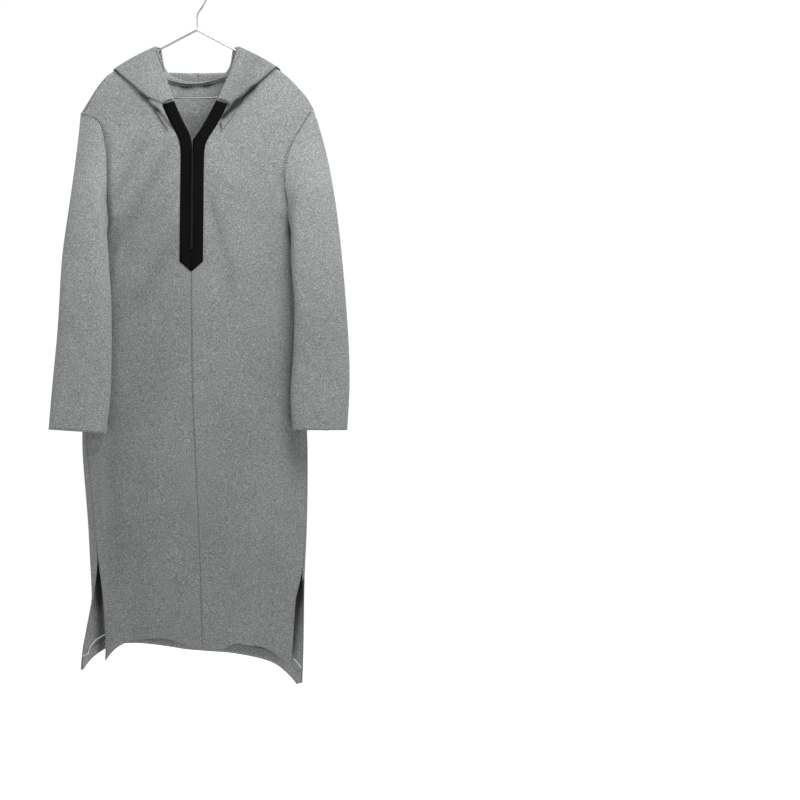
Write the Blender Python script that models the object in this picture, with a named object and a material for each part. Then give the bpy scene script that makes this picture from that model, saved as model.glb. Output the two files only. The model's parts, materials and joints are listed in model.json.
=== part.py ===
"""Hooded robe with long sleeves, hung on a chromed wire hanger.

Frame: the origin is the inside top of the hook, where a rail carries it. +Z is up,
the front of the robe faces -Y and +X is the right side as seen from the front.
The tables below are in millimetres; meshes are made in metres.
Every piece of cloth is a surface worked out from the tables, given a wall, and
kept a hair's breadth from the pieces that it is sewn to.
"""
import math
from collections import defaultdict, namedtuple

import bmesh
import bpy
from mathutils import Vector
from mathutils.bvhtree import BVHTree

MM = 0.001

# Cloth and trim
WALL = 1.8                # felted melange cloth
SEAM_PULL = 0.2           # each piece stops this far short of a seam
LAY_GAP = 0.35            # between a panel and what lies on it
TAPE_WALL = 1.2
TAPE_WIDTH = 23.0
HEM_DEPTH = 23.0          # turned-up hem of the back panel
HEM_WALL = 1.4
HEM_GAP = 0.6             # between the back panel and the hem folded up inside it
SHOULDER_ROLL = 5.6       # round of the cloth where it lies over the wire
LEAST_STRAIGHT = 0.78     # the wall is stretched at a sharp bend by no more than this allows

# Closure braid on the placket
RUNG_COUNT = 35
RUNG_PITCH = 5.45
RUNG_LENGTH = 3.0
RUNG_WIDTH_TOP = 5.4
RUNG_WIDTH_LOW = 7.2
BRAID_SPINE_WIDTH = 2.0
BRAID_TOP_Z = -348.5
BRAID_WALL = 1.8

# Hanger wire
WIRE_RADIUS = 2.25
WIRE_APEX_Z = -93.9
ARM_SLOPE = 0.525
APEX_RADIUS = 6.0         # bend of the wire at the top of the frame
BAR_Z = -229.0
FRAME_END_X = 174.0       # corner of the arms before it is rounded
BAR_END_X = 168.0
HOOK_RADIUS = 22.0
HOOK_START = -35.0        # degrees, where the arc leaves the bent neck
HOOK_SWEEP = 210.0        # degrees of arc from there over the top to the tip
HOOK_STEPS = 18
CORNER_RADII = [APEX_RADIUS, 11.0, 9.0, 9.0, 11.0]     # from the apex round to the left arm
CORNER_STEPS = 4

# Where panels change construction
UNDERARM_Z = -476.0
ROLL_SHARE = 0.25         # share of the armhole's height where the shoulder round acts
ROW_SWEEP = 1.3           # rows of a front panel leave the neck edge nearly level
TOP_FADE = 1.6            # how fast the back's columns leave the line of its top
LAST_LEVEL_Z = -1240.0
PLACKET_CORNER_Z = -561.0
PLACKET_TIP_Z = -581.0

# The body's flat section: how full it is between its side edges
SECTION_POWER = 2.2
SECTION_ROUND = 0.74

Edge = namedtuple("Edge", "z left right")
SILHOUETTE = [
    Edge(-476, -178.0, 188.0),
    Edge(-515, -184.5, 189.6),
    Edge(-544, -190.0, 196.0),
    Edge(-600, -198.0, 201.0),
    Edge(-660, -205.5, 203.5),
    Edge(-750, -217.0, 212.0),
    Edge(-900, -233.5, 222.5),
    Edge(-1000, -227.5, 223.0),
    Edge(-1063, -221.5, 222.5),
    Edge(-1150, -217.5, 219.0),
    Edge(-1242, -212.5, 215.5),
    Edge(-1288, -221.5, 215.5),
    Edge(-1322, -229.5, 215.5),
    Edge(-1400, -236.5, 211.0),
]
FRONT_EDGE = [
    Edge(-476, -178.0, 188.0),
    Edge(-515, -184.5, 189.6),
    Edge(-544, -190.0, 196.0),
    Edge(-600, -198.0, 201.0),
    Edge(-660, -205.5, 203.5),
    Edge(-750, -209.0, 203.5),
    Edge(-900, -220.0, 218.0),
    Edge(-1012, -211.0, 218.0),
    Edge(-1074, -205.5, 217.0),
    Edge(-1148, -197.5, 213.5),
    Edge(-1188, -192.0, 208.0),
    Edge(-1212, -189.4, 200.4),
    Edge(-1250, -185.6, 194.0),
    Edge(-1288, -181.6, 193.4),
    Edge(-1364, -183.0, 186.5),
]
SLIT_TOP_Z = -1148.0
BACK_SLIT = [
    Edge(-1148, -197.5, 213.5),
    Edge(-1188, -202.0, 209.6),
    Edge(-1212, -206.0, 212.6),
    Edge(-1242, -212.0, 214.2),
    Edge(-1288, -221.3, 215.2),
    Edge(-1400, -236.3, 210.8),
]
Centre = namedtuple("Centre", "z x front back")
CENTRE = [
    Centre(-321, -8.6, 41.0, 43.0),
    Centre(-476, -10.4, 46.0, 46.0),
    Centre(-581, -11.4, 46.0, 46.0),
    Centre(-834, -8.8, 44.0, 45.0),
    Centre(-986, -1.2, 42.0, 44.0),
    Centre(-1166, 6.0, 40.0, 42.0),
    Centre(-1400, 12.5, 38.0, 40.0),
]

# Hem heights across each panel
Hem = namedtuple("Hem", "x z")
FRONT_HEM = [
    Hem(-184, -1354), Hem(-168, -1332), Hem(-153, -1319), Hem(-136, -1311),
    Hem(-111, -1307), Hem(-81, -1303), Hem(-55, -1305), Hem(-37, -1312),
    Hem(-17, -1323), Hem(9, -1326), Hem(50, -1329), Hem(66, -1317),
    Hem(78, -1313), Hem(96, -1322), Hem(116, -1320), Hem(142, -1330),
    Hem(162, -1343), Hem(174, -1356), Hem(187, -1364),
]
BACK_HEM = [
    Hem(-236, -1377), Hem(-220, -1364), Hem(-214, -1352), Hem(-200, -1339),
    Hem(-182, -1329), Hem(-140, -1323), Hem(-69, -1331), Hem(-18, -1339),
    Hem(60, -1344), Hem(104, -1350), Hem(140, -1357), Hem(167, -1365),
    Hem(184, -1376), Hem(199, -1396), Hem(206, -1403), Hem(212, -1400),
]

# Shoulder ridge over the wire, from the neck to the top of the armhole
Ridge = namedtuple("Ridge", "x z")
SHOULDER = {
    "left": [
        Ridge(-78, -128.2), Ridge(-120, -151.5), Ridge(-162, -173.3),
        Ridge(-174, -180.0), Ridge(-184, -188.5), Ridge(-193, -198.5),
        Ridge(-208, -221.0), Ridge(-222, -244.0), Ridge(-233, -262.0),
    ],
    "right": [
        Ridge(78, -128.2), Ridge(120, -151.5), Ridge(162, -173.3),
        Ridge(174, -180.0), Ridge(185, -190.0), Ridge(195, -201.5),
        Ridge(208, -215.0), Ridge(220, -228.5), Ridge(232, -250.0),
    ],
}

# Columns of the panels, in mm from their side edges or as a count of even steps
SIDE_STEPS = [0.0, 4.0, 12.0, 26.0]
TURN_STEPS = [0.0, 8.0, 22.0]
LEAST_TURN = 4.0
FRONT_EVEN = 6
BACK_EVEN = 4
NECK_EVEN = 14
NECK_SHARE = 0.165        # half of the back's share of columns that hangs from the neck
WRAP_STEPS = 5
ACROSS_STEPS = 72

# Rows of the panels: shares from the shoulder (0) to the underarm (1), then depths
# below the origin, then heights above the hem
ROWS = [0.0, 0.006, 0.016, 0.036, 0.10, 0.20, 0.32, 0.45, 0.58, 0.71, 0.83, 0.93, 0.985, 1.0]
FIRST_SPREAD_ROW = 0.10
LOWER_LEVELS = [
    515.0, -PLACKET_CORNER_Z, -PLACKET_TIP_Z, 660.0, 705.0, 750.0, 830.0, 900.0, 960.0,
    1030.0, 1090.0, -SLIT_TOP_Z, 1188.0, 1220.0, -LAST_LEVEL_Z,
]
HEM_RISES = [52.0, HEM_DEPTH, 0.0]

# V-neck edge of each front, then its centre line, by the same shares as ROWS
Rim = namedtuple("Rim", "v x y z")
NECK_FRONT = {
    "left": [
        Rim(0.00, -78.0, 0.0, -128.2), Rim(0.03, -77.6, -3.0, -135.0),
        Rim(0.10, -74.5, -10.0, -151.0), Rim(0.20, -66.5, -19.0, -184.0),
        Rim(0.32, -45.0, -31.0, -242.0), Rim(0.45, -32.6, -35.0, -272.7),
        Rim(0.58, -18.8, -38.5, -299.0), Rim(0.71, -8.6, -41.0, -321.0),
        Rim(0.83, -9.4, -44.0, -372.0), Rim(0.93, -10.1, -45.5, -427.0),
        Rim(1.00, -10.4, -46.0, -476.0),
    ],
    "right": [
        Rim(0.00, 78.0, 0.0, -128.2), Rim(0.03, 77.6, -3.0, -135.0),
        Rim(0.10, 74.5, -10.0, -151.0), Rim(0.20, 65.0, -19.0, -184.0),
        Rim(0.32, 37.6, -31.0, -241.0), Rim(0.45, 25.5, -35.0, -266.0),
        Rim(0.58, 9.5, -38.5, -295.5), Rim(0.71, -8.6, -41.0, -321.0),
        Rim(0.83, -9.4, -44.0, -372.0), Rim(0.93, -10.1, -45.5, -427.0),
        Rim(1.00, -10.4, -46.0, -476.0),
    ],
}
Armhole = namedtuple("Armhole", "v x front back z")
ARMHOLE = {
    "left": [
        Armhole(0.00, -233.0, 0.0, 0.0, -262.0), Armhole(0.12, -211.0, 14.0, 14.0, -267.0),
        Armhole(0.23, -190.0, 19.0, 19.0, -287.0), Armhole(0.34, -183.0, 21.0, 21.0, -316.0),
        Armhole(0.60, -178.0, 21.0, 22.0, -382.0), Armhole(0.84, -179.0, 14.0, 14.0, -440.0),
        Armhole(0.96, -178.5, 9.5, 9.5, -467.5), Armhole(1.00, -178.0, 0.0, 0.0, -476.0),
    ],
    "right": [
        Armhole(0.00, 232.0, 0.0, 0.0, -250.0), Armhole(0.12, 217.0, 13.0, 14.0, -273.0),
        Armhole(0.23, 203.5, 18.0, 19.0, -297.0), Armhole(0.34, 189.0, 21.0, 21.0, -321.0),
        Armhole(0.60, 172.5, 21.0, 22.0, -385.0), Armhole(0.84, 179.0, 14.0, 14.0, -440.0),
        Armhole(0.96, 185.5, 9.5, 9.5, -467.5), Armhole(1.00, 188.0, 0.0, 0.0, -476.0),
    ],
}

# Back neckline in equal shares from a neck point to the centre back: it turns over the
# wire first, then sinks between the shoulders
Neck = namedtuple("Neck", "share out y z")
BACK_NECK = [
    Neck(0 / 7, 78.0, 0.0, -128.2), Neck(1 / 7, 74.0, 4.6, -128.0),
    Neck(2 / 7, 72.5, 8.0, -134.5), Neck(3 / 7, 71.5, 13.5, -149.0),
    Neck(4 / 7, 67.5, 21.0, -165.5), Neck(5 / 7, 54.0, 30.0, -179.5),
    Neck(6 / 7, 29.0, 36.5, -187.5), Neck(7 / 7, 0.0, 38.5, -190.0),
]

# Sleeves, ring by ring from the armhole (0) to the cuff (1): the ring runs from its
# outer end on the silhouette to its inner end beside the body, fuller by half its depth
Sleeve = namedtuple("Sleeve", "t ox oy oz ix iy iz depth")
SLEEVE = {
    "left": [
        Sleeve(0.00, -233.0, 0.0, -262.0, -178.0, 0.0, -476.0, 21.0),
        Sleeve(0.07, -235.5, -1.2, -290.0, -183.0, -5.0, -489.0, 21.5),
        Sleeve(0.14, -239.0, -4.0, -325.0, -184.0, -13.0, -506.0, 22.0),
        Sleeve(0.21, -243.0, -8.0, -360.0, -181.0, -22.0, -530.0, 22.5),
        Sleeve(0.28, -247.5, -12.0, -396.0, -176.0, -29.5, -556.0, 23.0),
        Sleeve(0.40, -256.5, -20.0, -464.0, -170.0, -36.0, -612.0, 23.0),
        Sleeve(0.55, -268.5, -29.0, -558.0, -168.0, -39.0, -684.0, 22.0),
        Sleeve(0.70, -275.0, -36.0, -688.0, -168.0, -41.0, -756.0, 22.0),
        Sleeve(0.85, -285.0, -40.0, -794.0, -170.0, -42.0, -826.0, 21.0),
        Sleeve(1.00, -293.0, -42.0, -892.0, -178.5, -43.0, -899.0, 20.0),
    ],
    "right": [
        Sleeve(0.00, 232.0, 0.0, -250.0, 188.0, 0.0, -476.0, 21.0),
        Sleeve(0.06, 241.5, -1.0, -277.0, 192.5, -4.0, -488.0, 21.5),
        Sleeve(0.13, 251.5, -3.5, -312.0, 194.5, -13.0, -505.0, 22.0),
        Sleeve(0.21, 262.0, -8.0, -357.0, 193.0, -24.0, -531.0, 22.5),
        Sleeve(0.28, 269.0, -12.0, -396.0, 193.0, -30.0, -558.0, 23.0),
        Sleeve(0.40, 279.0, -20.0, -466.0, 192.5, -35.0, -612.0, 23.0),
        Sleeve(0.55, 289.0, -29.0, -566.0, 191.5, -39.0, -684.0, 22.0),
        Sleeve(0.70, 297.5, -36.0, -680.0, 189.0, -41.0, -752.0, 22.0),
        Sleeve(0.85, 302.0, -40.0, -792.0, 183.5, -42.0, -824.0, 21.0),
        Sleeve(1.00, 296.5, -42.0, -893.0, 188.0, -43.0, -893.0, 20.0),
    ],
}
SLEEVE_RINGS = 15
SLEEVE_ROUND = 0.42       # the smaller, the fuller the tube beside its two ends
SLEEVE_GAP = 2.5          # between a sleeve and the body that it hangs in front of

# Hood halves, station by station from the tape (0) to the centre back (1): the face
# edge, the fold that hangs lowest, and the neck seam; "out" is away from the middle
Hood = namedtuple("Hood", "u face_out face_y face_z fold_out fold_y fold_z neck_out neck_y neck_z")
HOOD = [
    Hood(0.00, 54.0, -46, -285.0, 57.0, -46, -297.0, 54.0, -44, -286.0),
    Hood(0.05, 64.5, -43, -264.0, 72.0, -43, -274.0, 64.5, -41, -265.0),
    Hood(0.10, 71.5, -41, -248.0, 82.0, -42, -255.0, 71.5, -38, -248.5),
    Hood(0.12, 60.0, -39, -240.5, 85.0, -41, -250.0, 62.0, -36, -245.0),
    Hood(0.14, 46.0, -38, -237.0, 87.5, -40, -246.0, 50.0, -34, -237.0),
    Hood(0.22, 55.0, -32, -211.0, 108.0, -36, -235.0, 60.0, -26, -212.0),
    Hood(0.30, 65.0, -24, -182.0, 132.0, -28, -212.0, 69.0, -19, -184.0),
    Hood(0.37, 76.0, -14, -150.0, 151.0, -18, -190.0, 76.0, -10, -153.0),
    Hood(0.42, 82.0, -6, -130.0, 162.0, -8, -173.0, 78.5, -6, -133.5),
    Hood(0.44, 84.0, 0, -124.0, 165.0, 0, -166.5, 79.0, 0, -127.5),
    Hood(0.46, 90.0, 7, -128.0, 168.0, 8, -174.0, 78.2, 6.5, -135.0),
    Hood(0.50, 108.0, 15, -136.0, 172.0, 13, -182.0, 77.0, 12.5, -147.0),
    Hood(0.55, 132.0, 26, -148.0, 176.0, 19, -190.0, 75.5, 17.0, -157.5),
    Hood(0.61, 150.0, 37, -157.0, 178.0, 25, -199.0, 73.0, 22.0, -168.0),
    Hood(0.67, 143.0, 46, -161.0, 163.0, 40, -225.0, 67.0, 27.0, -177.5),
    Hood(0.75, 114.0, 53, -163.5, 140.0, 50, -259.0, 55.0, 33.0, -186.0),
    Hood(0.84, 76.0, 58, -165.5, 97.0, 58, -306.0, 37.0, 37.5, -191.5),
    Hood(0.92, 38.0, 60, -166.5, 47.0, 63, -350.0, 18.5, 40.0, -194.0),
    Hood(1.00, 0.0, 61, -167.0, 0.0, 65, -382.0, 0.0, 41.5, -194.5),
]
HOOD_STOPS = (
    [0.0, 0.05, 0.10, 0.12, 0.14, 0.18, 0.22, 0.26, 0.30, 0.335, 0.37, 0.40]
    + [0.42, 0.43, 0.44, 0.45, 0.46]
    + [0.485, 0.515, 0.55, 0.58, 0.61, 0.64, 0.67, 0.71, 0.75, 0.80, 0.85, 0.90, 0.95, 1.0]
)
HOOD_SHIFT = {"left": 0.0, "right": -7.0}      # at the front end, fading to the shoulder
HOOD_SHIFT_REACH = 0.3
HOOD_OUTER_STEPS = 6
HOOD_FOLD_STEPS = 3
HOOD_INNER_STEPS = 5
INNER_LIFT = 0.8          # the hood's lower layer above the body's cloth
LAY_REACH = 14.0          # farther off than this the lower layer hangs free
HOOD_FOLD_RADIUS = 3.3    # round of the fold where the hood turns back under itself
OUTER_LIFT = INNER_LIFT + 2.0 * HOOD_FOLD_RADIUS
HOOD_CROWN = 7.0          # how far the outer layer rounds out between edge and fold

# Largest folds of the body, as soft troughs along a line: how wide and how deep
Fold = namedtuple("Fold", "x0 z0 x1 z1 width depth")
FRONT_FOLDS = [
    Fold(-40, -432, -134, -504, 20, 4.0),
    Fold(-68, -458, -154, -524, 16, 3.0),
    Fold(18, -414, 56, -554, 18, 3.5),
    Fold(-168, -300, -172, -470, 14, -5.0),
    Fold(160, -330, 176, -500, 13, -4.0),
    Fold(-150, -880, -120, -1240, 26, 3.5),
    Fold(58, -1210, 60, -1335, 16, 7.0),
    Fold(118, -1120, 112, -1330, 22, 4.0),
    Fold(-86, -1150, -82, -1320, 26, -4.0),
]
BACK_FOLDS = [
    Fold(-120, -560, -60, -900, 30, 3.5),
    Fold(110, -540, 70, -840, 28, 3.0),
    Fold(20, -1000, 40, -1330, 26, 4.0),
    Fold(-130, -1050, -150, -1320, 24, 4.5),
    Fold(140, -1040, 150, -1340, 24, 4.0),
]


def value_at(rows, key, at, column):
    """Smooth value of a table's column where its key has the value at."""
    keys = [getattr(row, key) for row in rows]
    values = [getattr(row, column) for row in rows]
    if keys[0] > keys[-1]:
        keys = [-k for k in keys]
        at = -at
    if at <= keys[0]:
        return values[0]
    if at >= keys[-1]:
        return values[-1]
    i = max(j for j in range(len(keys) - 1) if keys[j] <= at)

    def slope(j):
        low = max(j - 1, 0)
        high = min(j + 1, len(keys) - 1)
        return (values[high] - values[low]) / (keys[high] - keys[low])

    span = keys[i + 1] - keys[i]
    f = (at - keys[i]) / span
    start = (2 * f**3 - 3 * f**2 + 1) * values[i] + (f**3 - 2 * f**2 + f) * span * slope(i)
    end = (3 * f**2 - 2 * f**3) * values[i + 1] + (f**3 - f**2) * span * slope(i + 1)
    return start + end


def lerp(a, b, f):
    return a + (b - a) * f


def resample(points, fractions):
    """Points at the given fractions of a polyline's length."""
    lengths = [0.0]
    for a, b in zip(points, points[1:]):
        lengths.append(lengths[-1] + (b - a).length)
    result = []
    for fraction in fractions:
        target = fraction * lengths[-1]
        i = max(j for j in range(len(points) - 1) if lengths[j] <= target + 1e-9)
        f = (target - lengths[i]) / (lengths[i + 1] - lengths[i])
        result.append(points[i].lerp(points[i + 1], min(f, 1.0)))
    return result


def fold_push(folds, x, z):
    """How far the body's cloth sinks in at a place, from its largest folds."""
    push = 0.0
    for fold in folds:
        dx = fold.x1 - fold.x0
        dz = fold.z1 - fold.z0
        length = math.hypot(dx, dz)
        along = ((x - fold.x0) * dx + (z - fold.z0) * dz) / length
        across = ((x - fold.x0) * dz - (z - fold.z0) * dx) / length
        past = max(-along, along - length, 0.0)
        taper = math.exp(-(past / (1.4 * fold.width)) ** 2)
        push += fold.depth * taper * math.exp(-(across / fold.width) ** 2)
    return push


def section_depth(x, z, depth_column):
    """Distance from the middle plane to the body's front or back at a place."""
    left = value_at(SILHOUETTE, "z", z, "left")
    right = value_at(SILHOUETTE, "z", z, "right")
    half = (right - left) / 2
    across = min(abs(x - (left + right) / 2) / half, 1.0)
    fullness = (1.0 - across**SECTION_POWER) ** SECTION_ROUND
    return value_at(CENTRE, "z", z, depth_column) * fullness


def front_face(x, z):
    depth = section_depth(x, z, "front")
    return -depth + fold_push(FRONT_FOLDS, x, z) * min(depth / 20.0, 1.0)


def back_face(x, z):
    depth = section_depth(x, z, "back")
    return depth - fold_push(BACK_FOLDS, x, z) * min(depth / 20.0, 1.0)


def shoulder_roll(x, z):
    """Least distance from the ridge's plane at a place near the shoulder ridge."""
    ridge = SHOULDER["left" if x < 0.0 else "right"]
    inner, outer = ridge[0], ridge[-1]
    reach = min(max(abs(x), abs(inner.x)), abs(outer.x))
    height = ridge_height(ridge, reach)
    drop = min(max(height - z, 0.0), SHOULDER_ROLL)
    return math.sqrt(SHOULDER_ROLL**2 - (SHOULDER_ROLL - drop) ** 2)


def ridge_height(ridge, reach):
    """Height of a shoulder ridge at a distance from the middle."""
    table = [Ridge(abs(point.x), point.z) for point in ridge]
    return value_at(table, "x", reach, "z")


def ridge_drop(side, v, s):
    """How far the shoulder ridge departs from a straight row, fading downwards."""
    ridge = SHOULDER[side]
    first, last = ridge[0], ridge[-1]
    straight = lerp(first.z, last.z, s**ROW_SWEEP)
    return (ridge_height(ridge, abs(lerp(first.x, last.x, s))) - straight) * (1.0 - v) ** 2


def rolled(point, v, face):
    """Keeps a point near the shoulder on the cloth's round over the wire."""
    if v == 0.0:
        return Vector((point.x, 0.0, point.z))
    if v < ROLL_SHARE and face * point.y < shoulder_roll(point.x, point.z):
        return Vector((point.x, face * shoulder_roll(point.x, point.z), point.z))
    return point


def armhole_point(side, v, face):
    """Point of the armhole at a share of its height, in front (-1) or behind (1)."""
    column = "front" if face < 0 else "back"
    hole = {c: value_at(ARMHOLE[side], "v", v, c) for c in ("x", column, "z")}
    return rolled(Vector((hole["x"], face * hole[column], hole["z"])), v, face)


def upper_front_point(side, v, s):
    rim = {c: value_at(NECK_FRONT[side], "v", v, c) for c in ("x", "y", "z")}
    hole = armhole_point(side, v, -1)
    if s == 1.0:
        return hole
    x = lerp(rim["x"], hole.x, s)
    z = lerp(rim["z"], hole.z, s**ROW_SWEEP) + ridge_drop(side, v, s)
    flat = (1.0 - s**SECTION_POWER) ** SECTION_ROUND
    y = lerp(hole.y, rim["y"], flat)
    if s > 0.0:
        y += fold_push(FRONT_FOLDS, x, z) * min(v * 3.0, 1.0)
    return rolled(Vector((x, y, z)), v, -1)


def back_neck(s):
    """Back neckline from the left neck point (0) to the right one (1)."""
    sign = -1.0 if s < 0.5 else 1.0
    share = 1.0 - abs(2.0 * s - 1.0)
    row = {c: value_at(BACK_NECK, "share", share, c) for c in ("out", "y", "z")}
    return Vector((sign * row["out"], row["y"], row["z"]))


def upper_back_row(v):
    """One row of the back panel from armhole to armhole. Its middle hangs from the
    neckline, the rest from the shoulder ridges."""
    left = armhole_point("left", v, 1)
    right = armhole_point("right", v, 1)
    row = []
    for s in back_stops(right.x - left.x, LEAST_TURN, LEAST_TURN):
        if s in (0.0, 1.0):
            row.append(left if s == 0.0 else right)
            continue
        top = back_top(s)
        start_x = lerp(SHOULDER["left"][-1].x, SHOULDER["right"][-1].x, s)
        start_z = lerp(SHOULDER["left"][-1].z, SHOULDER["right"][-1].z, s)
        fade = (1.0 - row_share(v, s)) ** TOP_FADE
        lower_x = lerp(left.x, right.x, s)
        near_neck = min(1.0, min(s, 1.0 - s) / (0.5 - NECK_SHARE))
        x = lower_x + (top.x - lerp(start_x, lower_x, near_neck)) * fade
        z = lerp(left.z, right.z, s) + (top.z - start_z) * fade
        flat = (1.0 - abs(2.0 * s - 1.0) ** SECTION_POWER) ** SECTION_ROUND
        side_depth = lerp(left.y, right.y, s)
        y = lerp(side_depth, value_at(CENTRE, "z", UNDERARM_Z, "back"), flat)
        y = lerp(y, top.y, (1.0 - v) ** 3)
        y -= fold_push(BACK_FOLDS, x, z) * min(v * 3.0, 1.0)
        point = Vector((x, y, z))
        row.append(rolled(point, v, 1) if v > 0.0 else top)
    return row


def row_share(v, s):
    """Share of the way down, with the closest rows spread out below the neckline."""
    near = ROWS.index(FIRST_SPREAD_ROW)
    if v >= FIRST_SPREAD_ROW or abs(s - 0.5) >= NECK_SHARE:
        return v
    even = FIRST_SPREAD_ROW * ROWS.index(v) / near
    return lerp(v, even, math.cos(0.5 * math.pi * (s - 0.5) / NECK_SHARE))


def back_top(s):
    """Top line of the back panel: left ridge, neckline, right ridge."""
    low = 0.5 - NECK_SHARE
    high = 0.5 + NECK_SHARE
    if low < s < high:
        return back_neck((s - low) / (high - low))
    side = "left" if s <= low else "right"
    share = s / low if s <= low else (1.0 - s) / low
    ridge = SHOULDER[side]
    x = lerp(ridge[-1].x, ridge[0].x, share)
    return Vector((x, 0.0, ridge_height(ridge, abs(x))))


def front_stops(length):
    """Columns of a front panel as shares of a row's length: the tape's width, even
    steps, then closer ones where the cloth turns round the side."""
    near_side = [length - step for step in SIDE_STEPS[::-1]]
    even = [lerp(TAPE_WIDTH, near_side[0], i / FRONT_EVEN) for i in range(FRONT_EVEN)]
    return [stop / length for stop in [0.0] + even + near_side]


def back_stops(length, left_turn, right_turn):
    """Columns of the back panel: closer at both sides, even along the shoulders and
    the neckline, so that the neck points are among them."""
    low = (0.5 - NECK_SHARE) * length
    high = (0.5 + NECK_SHARE) * length
    left = [0.0] + [left_turn + step for step in TURN_STEPS]
    right = [length - stop for stop in [right_turn + step for step in TURN_STEPS][::-1] + [0.0]]
    stops = left + [lerp(left[-1], low, i / BACK_EVEN) for i in range(1, BACK_EVEN)]
    stops += [lerp(low, high, i / NECK_EVEN) for i in range(NECK_EVEN)]
    stops += [lerp(high, right[0], i / BACK_EVEN) for i in range(BACK_EVEN)]
    return [stop / length for stop in stops + right]


def front_level(side, z_of):
    """A row of a front panel at a level; z_of gives each column's own height."""
    edge = value_at(FRONT_EDGE, "z", z_of(1.0), side)
    seam = value_at(CENTRE, "z", z_of(0.0), "x")
    row = []
    for s in front_stops(abs(edge - seam)):
        z = z_of(s)
        x = lerp(value_at(CENTRE, "z", z, "x"), value_at(FRONT_EDGE, "z", z, side), s)
        row.append(Vector((x, front_face(x, z), z)))
    return row


def front_panel(side):
    """Grid of points of one front panel, rows down, columns outwards."""
    rows = []
    for v in ROWS:
        rim_x = value_at(NECK_FRONT[side], "v", v, "x")
        hole_x = value_at(ARMHOLE[side], "v", v, "x")
        stops = front_stops(abs(hole_x - rim_x))
        rows.append([upper_front_point(side, v, s) for s in stops])
    for level in LOWER_LEVELS:
        rows.append(front_level(side, lambda s, z=-level: z))
    edge_x = FRONT_EDGE[-1].left if side == "left" else FRONT_EDGE[-1].right
    for rise in HEM_RISES:
        def hem_height(s, rise=rise):
            x = lerp(CENTRE[-1].x, edge_x, s)
            return value_at(FRONT_HEM, "x", x, "z") + rise
        rows.append(front_level(side, hem_height))
    return rows


def side_edge(z, side):
    """Side seam, or the back panel's own edge below the top of the slit."""
    table = FRONT_EDGE if z >= SLIT_TOP_Z else BACK_SLIT
    return value_at(table, "z", z, side)


def back_path(z):
    """Round the back at a level, from side seam to side seam, and how much of it
    lies on the front face at each end."""
    left = value_at(SILHOUETTE, "z", z, "left")
    right = value_at(SILHOUETTE, "z", z, "right")
    seam_left = max(side_edge(z, "left"), left)
    seam_right = min(side_edge(z, "right"), right)
    wraps = []
    for seam, edge in ((seam_left, left), (seam_right, right)):
        wrap = [Vector((x, front_face(x, z), z))
                for x in (lerp(seam, edge, i / WRAP_STEPS) for i in range(WRAP_STEPS))]
        wraps.append(wrap if abs(seam - edge) > 0.5 else [])
    across = []
    for i in range(ACROSS_STEPS + 1):
        x = lerp(left, right, 0.5 - 0.5 * math.cos(math.pi * i / ACROSS_STEPS))
        across.append(Vector((x, back_face(x, z), z)))
    points = wraps[0] + across + wraps[1][::-1]
    turns = [max(line_length(wrap + [tip]), LEAST_TURN)
             for wrap, tip in ((wraps[0], across[0]), (wraps[1], across[-1]))]
    return points, turns


def line_length(points):
    return sum((b - a).length for a, b in zip(points, points[1:]))


def back_level(z_of):
    """A row of the back panel at a level; z_of gives each column's own height."""
    row = []
    count = 2 * (len(TURN_STEPS) + BACK_EVEN) + NECK_EVEN + 1
    for column in range(count):
        points, turns = back_path(z_of(column))
        stops = back_stops(line_length(points), *turns)
        row.append(resample(points, [stops[column]])[0])
    return row


def back_panel():
    """Grid of points of the back panel, rows down, columns left to right."""
    rows = [upper_back_row(v) for v in ROWS]
    for level in LOWER_LEVELS:
        rows.append(back_level(lambda column, z=-level: z))
    guide = back_level(lambda column: BACK_HEM[len(BACK_HEM) // 2].z)
    for rise in HEM_RISES:
        rows.append(back_level(
            lambda column, rise=rise: value_at(BACK_HEM, "x", guide[column].x, "z") + rise))
    return rows


def armhole_ring(side):
    """Armhole points with their share of its height: down the front, up the back."""
    front = [(v, -1, armhole_point(side, v, -1)) for v in ROWS]
    behind = [(v, 1, armhole_point(side, v, 1)) for v in reversed(ROWS[1:-1])]
    return front + behind


def before_body(point):
    """Keeps a sleeve's point in front of the body where the two hang one on the other."""
    left = value_at(SILHOUETTE, "z", point.z, "left")
    right = value_at(SILHOUETTE, "z", point.z, "right")
    if point.z > UNDERARM_Z or not left < point.x < right:
        return point
    return Vector((point.x, min(point.y, front_face(point.x, point.z) - SLEEVE_GAP), point.z))


def sleeve_tube(side):
    """Rings of a sleeve; each ring closes on itself."""
    table = SLEEVE[side]
    ring_0 = armhole_ring(side)
    top = ring_0[0][2]
    underarm = Vector((table[0].ix, table[0].iy, table[0].iz))
    rings = [[point for _, _, point in ring_0]]
    for k in range(1, SLEEVE_RINGS + 1):
        t = k / SLEEVE_RINGS
        row = {c: value_at(table, "t", t, c) for c in table[0]._fields}
        outer = Vector((row["ox"], row["oy"], row["oz"]))
        inner = Vector((row["ix"], row["iy"], row["iz"]))
        shape = (1.0 - t) ** 3
        ring = []
        for v, face, point in ring_0:
            local = point - top.lerp(underarm, v)
            round_y = face * row["depth"] * (4.0 * v * (1.0 - v)) ** SLEEVE_ROUND
            offset = local * shape + Vector((0.0, round_y, 0.0)) * (1.0 - shape)
            ring.append(before_body(outer.lerp(inner, v) + offset))
        rings.append(ring)
    return rings


def lift_clear(point, tree, gap):
    """Moves a point out until it is at least gap outside the body's cloth."""
    for _ in range(4):
        near, normal, _, distance = tree.find_nearest(point)
        outside = (point - near).dot(normal) >= 0.0
        if outside and distance >= gap - 0.01:
            return point
        if outside and distance > 0.05:
            normal = (point - near) / distance
        point = near + normal * gap
    return point


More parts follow.
